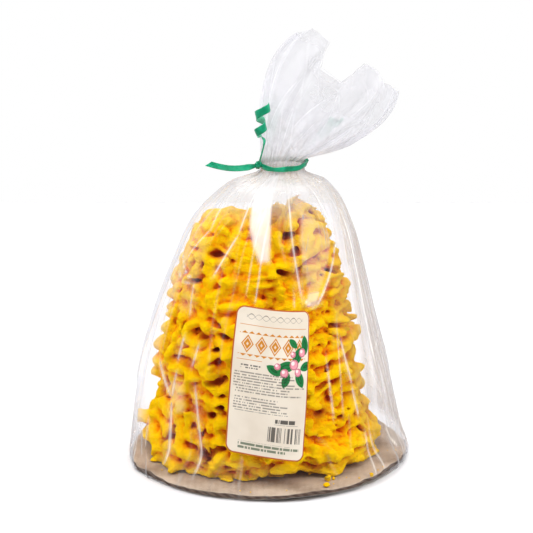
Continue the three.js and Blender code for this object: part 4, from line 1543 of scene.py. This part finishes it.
def dashes(x, y, bounds, pitch, tall, coverage, seed):
    """Rows of short dashes inside bounds (left, right, low, high)."""
    left, right, low, high = bounds
    row = (y / pitch).math("FLOOR")
    in_row = abs(y / pitch - row - 0.5) * pitch - tall / 2
    cell = (x * 1.6).math("FLOOR")
    pick = x.node("CombineXYZ", {"X": cell, "Y": row, "Z": float(seed)})
    toss = x.node("TexWhiteNoise", {"Vector": pick}, noise_dimensions="3D")
    row_end = x.node("TexWhiteNoise", {"W": row + seed}, noise_dimensions="1D")
    within = box_shape(x, y, ((left + right) / 2, (low + high) / 2), ((right - left) / 2, (high - low) / 2))
    short = larger(within, x - right + row_end * (right - left) * 0.3)
    return inked(larger(short, in_row)) * rising(toss, 1 - coverage, 1.02 - coverage)


# %% Ornament, rules and lozenges
GREY, OCHRE, EDGE_SHADOW_BROWN = srgb(92, 84, 76), srgb(201, 128, 28), srgb(184, 96, 30)
GREEN, DEEP_GREEN = srgb(28, 120, 62), srgb(16, 78, 40)
PINK, DEEP_PINK, PALE_PINK = srgb(226, 150, 162), srgb(176, 84, 104), srgb(252, 230, 228)
LOZENGE_PITCH = 9.4


def with_ornament(colour, x, y):
    """Two crossing waves at the top, and ochre rules."""
    sway = (x * 0.62).math("SINE")
    wave = abs(y - 44 - 1.7 * sway) - 0.2 - 0.12 * sway
    second = abs(y - 44 + 1.7 * sway) - 0.14
    ornament = inked(larger(smaller(wave, second), abs(x) - 21))
    colour = mixed(ornament * 0.75, colour, GREY)
    for height, left, right in [(38.5, -25, 25), (15.4, -25, -8)]:
        rule = inked(box_shape(x, y, ((left + right) / 2, height), ((right - left) / 2, 0.18)))
        colour = mixed(rule, colour, OCHRE)
    return colour


def with_lozenges(colour, x, y):
    """A band of lozenges with rims and hearts, between two rows of small triangles."""
    repeat = x / LOZENGE_PITCH + 0.5
    step = abs(repeat - repeat.math("FLOOR") - 0.5) * LOZENGE_PITCH
    aside = abs(y - 26)
    lozenge = step * 1.45 + aside - 6.1
    rim = abs(step * 1.45 + aside - 4.3) - 0.45
    heart = step * 1.45 + aside - 1.3
    band = inked(larger(lozenge, abs(x) - 23.6)) * (1 - inked(rim)) * (1 - inked(heart) * 0.8)
    colour = mixed(band, colour, OCHRE)
    half_step = abs(repeat * 2 - (repeat * 2).math("FLOOR") - 0.5) * (LOZENGE_PITCH / 2)
    for height, up in [(33.3, 1), (18.7, -1)]:
        point = half_step * 1.2 + (y - height) * up * 1.6 - 1.9
        triangles = larger(larger(point, (y - height) * -up - 0.5), abs(x) - 24.6)
        colour = mixed(inked(triangles), colour, OCHRE)
    return colour


# %% Sprig
LEAVES = [  # the middle, the way it points in degrees, the length and the width
    ((9, 13.5), 12, 15, 7.4), ((17.5, 20.5), 62, 14, 7.2), ((0.5, 10.5), -28, 12, 6),
    ((20.5, 5.5), -62, 13, 6.8), ((9.5, 4.5), 70, 11, 5.8), ((24, 28), 98, 13, 6.6),
    ((25.5, 14), 20, 11, 6), ((13.5, 29), 140, 9, 4.6),
]
BERRIES = [  # the middle and the radius
    ((15, 15), 3.5), ((8, 9.2), 3), ((18.6, 10), 2.8), ((2.6, 13.4), 2.3), ((21.6, 23), 3),
    ((13.6, 21.8), 2.2),
]


def with_sprig(colour, x, y):
    for middle, degrees, length, width in LEAVES:
        leaf = leaf_shape(x, y, middle, degrees, length, width)
        colour = mixed(inked(leaf), colour, GREEN)
        colour = mixed(inked(larger(leaf, abs(leaf + 2.4) - 0.3)), colour, DEEP_GREEN)
    for middle, radius in BERRIES:
        berry = round_shape(x, y, middle, radius)
        shine = round_shape(x, y, (middle[0] - 0.3 * radius, middle[1] + 0.3 * radius), radius * 0.4)
        colour = mixed(inked(berry), colour, PINK)
        colour = mixed(inked(larger(berry, abs(berry + 0.45) - 0.3)) * 0.8, colour, DEEP_PINK)
        colour = mixed(inked(shine) * 0.85, colour, PALE_PINK)
    return colour


# %% Dashes, bars and the painted edge shadow
DASHES = [  # left, right, low and high; the pitch and height of a row; how full it is; the seed; the ink
    ((-22, -6, 9.5, 12.2), 2.7, 1.9, 0.85, 3, 0.85), ((-26, 25, -8, 8), 1.9, 0.95, 0.8, 5, 0.62),
    ((-25, 14, -20, -9.5), 1.9, 0.95, 0.75, 9, 0.62), ((4, 25, -26.5, -22.8), 3.7, 2.9, 0.9, 13, 0.9),
]
# painted shadow: a brown band just inside the label's edge
EDGE_SHADOW_WIDTH = 0.95  # how wide the line round the label's edge is


def with_dashes(colour, x, y):
    masks = [(dashes(x, y, *row[:5]), row[5]) for row in DASHES]
    for mask, strength in masks:
        colour = mixed(mask * strength, colour, srgb(58, 54, 50))
    bar = x.node("TexWhiteNoise", {"W": (x * 2.1).math("FLOOR")}, noise_dimensions="1D")
    bars = inked(box_shape(x, y, (12.5, -33.5), (12.5, 5.2))) * rising(bar, 0.45, 0.5)
    colour = mixed(bars * 0.85, colour, srgb(52, 46, 42))
    foot = dashes(x, y, (-20, 24, -47.2, -41), 2.6, 1.7, 0.85, 21)
    return mixed(foot * 0.8, colour, srgb(64, 92, 62))


def with_edge_shadow(colour, x, y):
    past_side = abs(x) - (LABEL_WIDTH / 2 - LABEL_CORNER)
    past_end = abs(y) - (LABEL_HEIGHT / 2 - LABEL_CORNER)
    round_corner = (larger(past_side, 0) ** 2 + larger(past_end, 0) ** 2) ** 0.5
    from_edge = round_corner + smaller(larger(past_side, past_end), 0) - LABEL_CORNER
    # painted shadow: the label's contact shadow, as a brown band along its edge
    return mixed(rising(from_edge, -EDGE_SHADOW_WIDTH - 0.15, -EDGE_SHADOW_WIDTH + 0.15), colour, EDGE_SHADOW_BROWN)


# %% Label finish
def label_finish():
    finish, tree = new_finish("printed_paper")
    uv = tree.node("UVMap", {}, uv_map="UVMap")
    x = (part_of(uv, "X") - 0.5) * LABEL_WIDTH
    y = (part_of(uv, "Y") - 0.5) * LABEL_HEIGHT
    place = tree.node("TexCoord", {}, output="Object")
    fibres = noise(place, 1500, Detail=3)
    clouds = noise(place, 60, Detail=2)
    colour = mixed(rising(clouds, 0.3, 0.7), srgb(219, 207, 189), srgb(227, 216, 199))
    for layer in (with_ornament, with_lozenges, with_sprig, with_dashes, with_edge_shadow):
        colour = layer(colour, x, y)
    normal = tree.node("NewGeometry", {}, output="Normal")
    outward = {0: normal, 1: tuple(label_out)}
    in_front = tree.node("VectorMath", outward, output="Value", operation="DOT_PRODUCT")
    colour = mixed(rising(in_front, -0.1, 0.1), srgb(222, 210, 192), colour)
    relief = tree.node("Bump", {"Strength": 0.12, "Distance": 0.2 * MM, "Height": fibres})
    paper_inputs = {"Base Color": colour, "Roughness": 0.5 + 0.1 * fibres, "Normal": relief,
                    "Specular IOR Level": 0.35}
    finish_with(tree, tree.node("BsdfPrincipled", paper_inputs))
    return finish


put_on(paper, label_finish())

# %% [markdown]
# ## The ribbon
# The bag is tied with green curling ribbon: a crumpled band round the neck, a knot at its front left, a
# short flat end that points left, and two ends drawn over a blade into curls, one beside the film and one
# behind it. Each stretch is a strip swept along a line: where its middle runs, which way its width points,
# and how wide it is. The strips are joined into one mesh.

# %% Ribbon strips
RIBBON_WIDTH = 4.6
RIBBON_THICKNESS = 0.35
KNOT_RADIUS = 2.5
RIBBON_COLUMNS = 9


def unit(vectors):
    return vectors / np.maximum(np.linalg.norm(vectors, axis=-1, keepdims=True), 1e-9)


def strip_grid(middle, across, width, cup=0.0, slant=0.0):
    """A grid of points for a strip: cup bends its width into an arc, slant cuts its end on a bias."""
    along = unit(np.gradient(middle, axis=0))
    wide = unit(across - along * np.sum(across * along, 1, keepdims=True))
    face = np.cross(along, wide)
    share = np.linspace(-0.5, 0.5, RIBBON_COLUMNS)
    grid = middle[:, None] + wide[:, None] * (share[None, :, None] * width[:, None, None])
    grid = grid + face[:, None] * (cup * (0.25 - share ** 2))[None, :, None]
    at_end = np.linspace(0, 1, len(middle)) ** 6
    return grid + along[:, None] * (slant * share[None, :, None] * at_end[:, None, None])


def beside_neck(turn, out, z):
    x = NECK["x"] + (NECK["half_width"] + out) * np.sin(turn)
    y = -(NECK["half_depth"] + out) * np.cos(turn)
    return np.stack([x, y, z + 0 * turn], -1)


def band_strip(out, rise, width, seed):
    """One turn of ribbon round the neck, which sags a little in front."""
    turn = np.linspace(math.radians(-66), math.radians(294), 121)
    sag = -1.7 * np.exp(-((np.degrees(turn) / 55 + 0.15) ** 2))
    z = 210.1 + rise + sag + 0.25 * np.sin(5 * turn + seed)
    middle = beside_neck(turn, out + 0.12 * np.sin(9 * turn + seed), z)
    across = np.stack([0.3 * np.sin(4 * turn + seed), 0.3 * np.cos(3 * turn), np.ones_like(turn)], 1)
    return strip_grid(middle, across, width * (1 + 0.15 * np.sin(7 * turn + seed)), cup=0.4)


def tail_strip(start):
    s = np.linspace(0, 1, 40)
    hang = 1.9 * (s * s * 0.55 - np.sin(math.pi * s))
    middle = start + np.stack([-34 * s, -2.5 * np.sin(math.pi * s), hang], 1)
    across = np.stack([0 * s, 0.5 * np.sin(3 * s) + 0.2, np.ones_like(s)], 1)
    width = RIBBON_WIDTH * np.clip(0.35 + 3.2 * s, 0, 0.95) * (1 - 0.1 * s)
    return strip_grid(middle, across, width, cup=0.7, slant=-3.6)


def curl_strip(start, foot, top, turns, phase, loose):
    """An end drawn into a curl: a lead from the knot, then turns round a line."""
    foot, top = np.array(foot, float), np.array(top, float)
    axis = unit(top - foot)
    side = unit(np.cross(axis, [0, 1, 0]))
    other = np.cross(axis, side)
    s = np.linspace(0, 1, int(turns * 34))
    angle = 2 * math.pi * (turns * s + phase)
    radius = 3.2 * (0.8 + 0.3 * s) * (1 + loose * np.sin(2.3 * angle)) + 2 * ease(s, 0.9, 1)
    coil = foot + (top - foot) * (s ** 1.1)[:, None]
    coil = coil + side * (radius * np.cos(angle))[:, None] + other * (radius * np.sin(angle))[:, None]
    into = unit(coil[1] - coil[0])
    bend = coil[0] - into * 5
    t = np.linspace(0, 1, 18)[:-1, None]
    lead = (1 - t) ** 2 * start + 2 * t * (1 - t) * bend + t ** 2 * coil[0]
    middle = np.concatenate([lead, coil])
    grown = np.clip((np.arange(len(middle)) - 12) / 26, 0, 1)
    width = blend(0.8, RIBBON_WIDTH * 1.15, grown)
    sideways = unit(np.cross(foot - start, [0, 0, 1]))
    across = blend(sideways, axis + 0.25 * side, grown[:, None])
    return strip_grid(middle, across, width, cup=0.5, slant=2.5)


# %% The knot
def knot_grid(at, seed):
    """A small crumpled knot: a ball of rings whose surface is folded."""
    lat = np.linspace(-math.pi / 2 + 0.02, math.pi / 2 - 0.02, 25)[:, None]
    turn = np.linspace(-math.pi, math.pi, 37)[None, :]
    folds = 1 + 0.16 * np.sin(3 * turn + 2 * lat + seed) + 0.1 * np.sin(5 * lat * 2 + turn * 2 + seed)
    radius = KNOT_RADIUS * folds
    x = 1.05 * radius * np.cos(lat) * np.cos(turn)
    y = 0.85 * radius * np.cos(lat) * np.sin(turn)
    z = 0.95 * radius * np.sin(lat) + 0 * turn
    return np.array(at) + np.stack([x, y, z], -1)


# %% The ribbon as one piece
# painted light: the curls' inner side is made paler, as light shining through the ribbon
CURLS = (3, 4)  # these strips of the list show their paler inner side


def build_ribbon():
    front_knot = beside_neck(np.array(math.radians(-66)), 3.1, 210.1)
    back_knot = beside_neck(np.array(math.radians(125)), 3.1, 210.1)
    grids = [
        band_strip(0.75, 0.5, 2.2, 0.4),
        band_strip(0.95, -0.7, 2.0, 2.1),
        tail_strip(front_knot + np.array([0, -0.3, 0])),
        curl_strip(front_knot, (-5.2, -16, 229), (-4.6, -16, 252.5), 2.0, 0.5, 0.04),
        curl_strip(back_knot, (34, 25, 222), (48, 27, 236), 2.4, 0.25, 0.08),
        knot_grid(front_knot, 1.0),
        knot_grid(back_knot, 2.2),
    ]
    parts = [thin_sheet("ribbon_part", grid, RIBBON_THICKNESS) for grid in grids]
    for i, part in enumerate(parts):
        half = len(part.data.vertices) // 2
        store(part, "inside", np.repeat([1, 0] if i in CURLS else [0, 0], half))
    with bpy.context.temp_override(active_object=parts[0], selected_editable_objects=parts):
        bpy.ops.object.join()
    parts[0].name = "ribbon_tie"
    parts[0].data.name = "ribbon_tie"
    return parts[0]


tie = build_ribbon()
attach(tie, "root")
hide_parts("ribbon")
print("ribbon triangles:", count_triangles(tie))

# %% [markdown]
# ### Curling ribbon
# Curling ribbon is thin plastic with fine ribs along its length and a soft sheen, and inside its curls it
# is painted paler, as painted light shining through it. The ribs are a sine across the strip's UV, as a
# bump and as a slight change of colour, and the inner side is told by the number that its points keep.

# %% Ribbon finish
RIBBON_RIBS = 11


def ribbon_finish():
    finish, tree = new_finish("green_curling_ribbon")
    uv = tree.node("UVMap", {}, uv_map="UVMap")
    across = part_of(uv, "X")
    place = tree.node("TexCoord", {}, output="Object")
    clouds = noise(place, 160, Detail=3)
    ribs = (across * (2 * math.pi * RIBBON_RIBS)).math("SINE")
    tone = rising(clouds * 0.8 + ribs * 0.08, 0.2, 0.62)
    outside = mixed(tone, srgb(4, 128, 88), srgb(16, 172, 126))
    # painted light: the inner side of the curls turns pale mint
    colour = mixed(stored(tree, "inside"), outside, srgb(124, 208, 176))
    relief = tree.node("Bump", {"Strength": 0.35, "Distance": 0.2 * MM, "Height": ribs * 0.5 + clouds})
    strip_inputs = {"Base Color": colour, "Roughness": 0.3 + 0.12 * clouds, "Normal": relief,
                    "Coat Weight": 0.3, "Coat Roughness": 0.2}
    finish_with(tree, tree.node("BsdfPrincipled", strip_inputs))
    return finish


put_on(tie, ribbon_finish())

# %% [markdown]
# ## Floor and light
# The photograph is high key: the floor and the background are pure white, with only a soft grey shadow
# close under the board. A large pale floor and a white world give that. The film shows by what it
# mirrors, so the world has a tone of its own for mirrored rays: dark in front, where the camera stands,
# and bright behind. Soft boxes above, right and left light the cake and aren't mirrored, because their
# shapes would hide it, and one behind is mirrored along the film's edges.

# %% Floor
FLOOR_SIZE = 1.5


def build_floor():
    half = FLOOR_SIZE / 2 / MM
    corners = [[-half, -half, 0], [half, -half, 0], [half, half, 0], [-half, half, 0]]
    made = mesh_object("floor", corners, [[0, 1, 2, 3]])
    finish, tree = new_finish("pale_floor")
    place = tree.node("TexCoord", {}, output="Object")
    grain = noise(place, 400, Detail=2)
    colour = mixed(grain, srgb(216, 216, 218), srgb(221, 221, 222))
    floor_inputs = {"Base Color": colour, "Roughness": 0.7, "Specular IOR Level": 0.2}
    finish_with(tree, tree.node("BsdfPrincipled", floor_inputs))
    put_on(made, finish)
    return made


floor = build_floor()
floor.visible_glossy = False  # dark flags in front of a pack keep the floor out of its film

# %% World
WORLD_LIGHT = 0.76


def tinted(tone, warm, cool):
    """A colour from a tone, with its red and green scaled by warm and its blue by cool."""
    return tone.node("CombineXYZ", {"X": tone * warm, "Y": tone * warm, "Z": tone * cool})


def build_world():
    world = bpy.data.worlds.new("studio")
    world.use_nodes = True
    world.node_tree.nodes.clear()
    tree = Field(world.node_tree)
    direction = tree.node("TexCoord", {}, output="Generated")
    up = part_of(direction, "Z")
    back = part_of(direction, "Y")
    tone = larger(0.3 + 0.55 * rising(back, -0.5, 0.4), rising(up, 0.25, 0.9) * 1.1)
    mirrored_tone = 0.02 + 0.76 * rising(back, 0.15, 0.6) + 0.1 * rising(up, 0.5, 1)
    to_eye = tree.node("LightPath", {}, output="Is Camera Ray")
    to_mirror = tree.node("LightPath", {}, output="Is Glossy Ray")
    lit = tree.node("Background", {"Color": tinted(tone, 0.985, 1.02), "Strength": WORLD_LIGHT})
    mirrored = tree.node("Background", {"Color": tinted(mirrored_tone, 0.98, 1.05), "Strength": 1.0})
    white = tree.node("Background", {"Color": (1, 1, 1, 1), "Strength": 1.0})
    around = tree.node("MixShader", {0: to_mirror, 1: lit, 2: mirrored})
    tree.node("OutputWorld", {"Surface": tree.node("MixShader", {0: to_eye, 1: around, 2: white})})
    bpy.context.scene.world = world


build_world()

# %% Soft boxes
def soft_box(name, azimuth, elevation, distance, wide, tall, radiance, mirrored=True):
    """A rectangular lamp aimed at the cake; azimuth is from the front towards +X, in degrees."""
    light = bpy.data.lights.new(name, "AREA")
    light.shape = "RECTANGLE"
    light.size = wide
    light.size_y = tall
    light.energy = radiance * math.pi * wide * tall
    made = bpy.data.objects.new(name, light)
    turn, up = math.radians(azimuth), math.radians(elevation)
    target = np.array([0, 0, 0.12])
    out = np.array([math.sin(turn) * math.cos(up), -math.cos(turn) * math.cos(up), math.sin(up)])
    made.location = target + out * distance
    made.rotation_euler = (math.pi / 2 - up, 0, turn)
    made.visible_glossy = mirrored
    bpy.context.scene.collection.objects.link(made)


soft_box("overhead", 0, 72, 1.6, 0.7, 1.5, 5.5, mirrored=False)
soft_box("right", 72, 30, 1.6, 0.8, 1.2, 4.6, mirrored=False)
soft_box("left", -62, 38, 1.7, 0.8, 1.2, 4.5, mirrored=False)
soft_box("behind", 180, 52, 1.8, 1.4, 0.8, 3.4)
bpy.context.scene.view_settings.view_transform = "Standard"
bpy.context.scene.view_settings.look = "None"
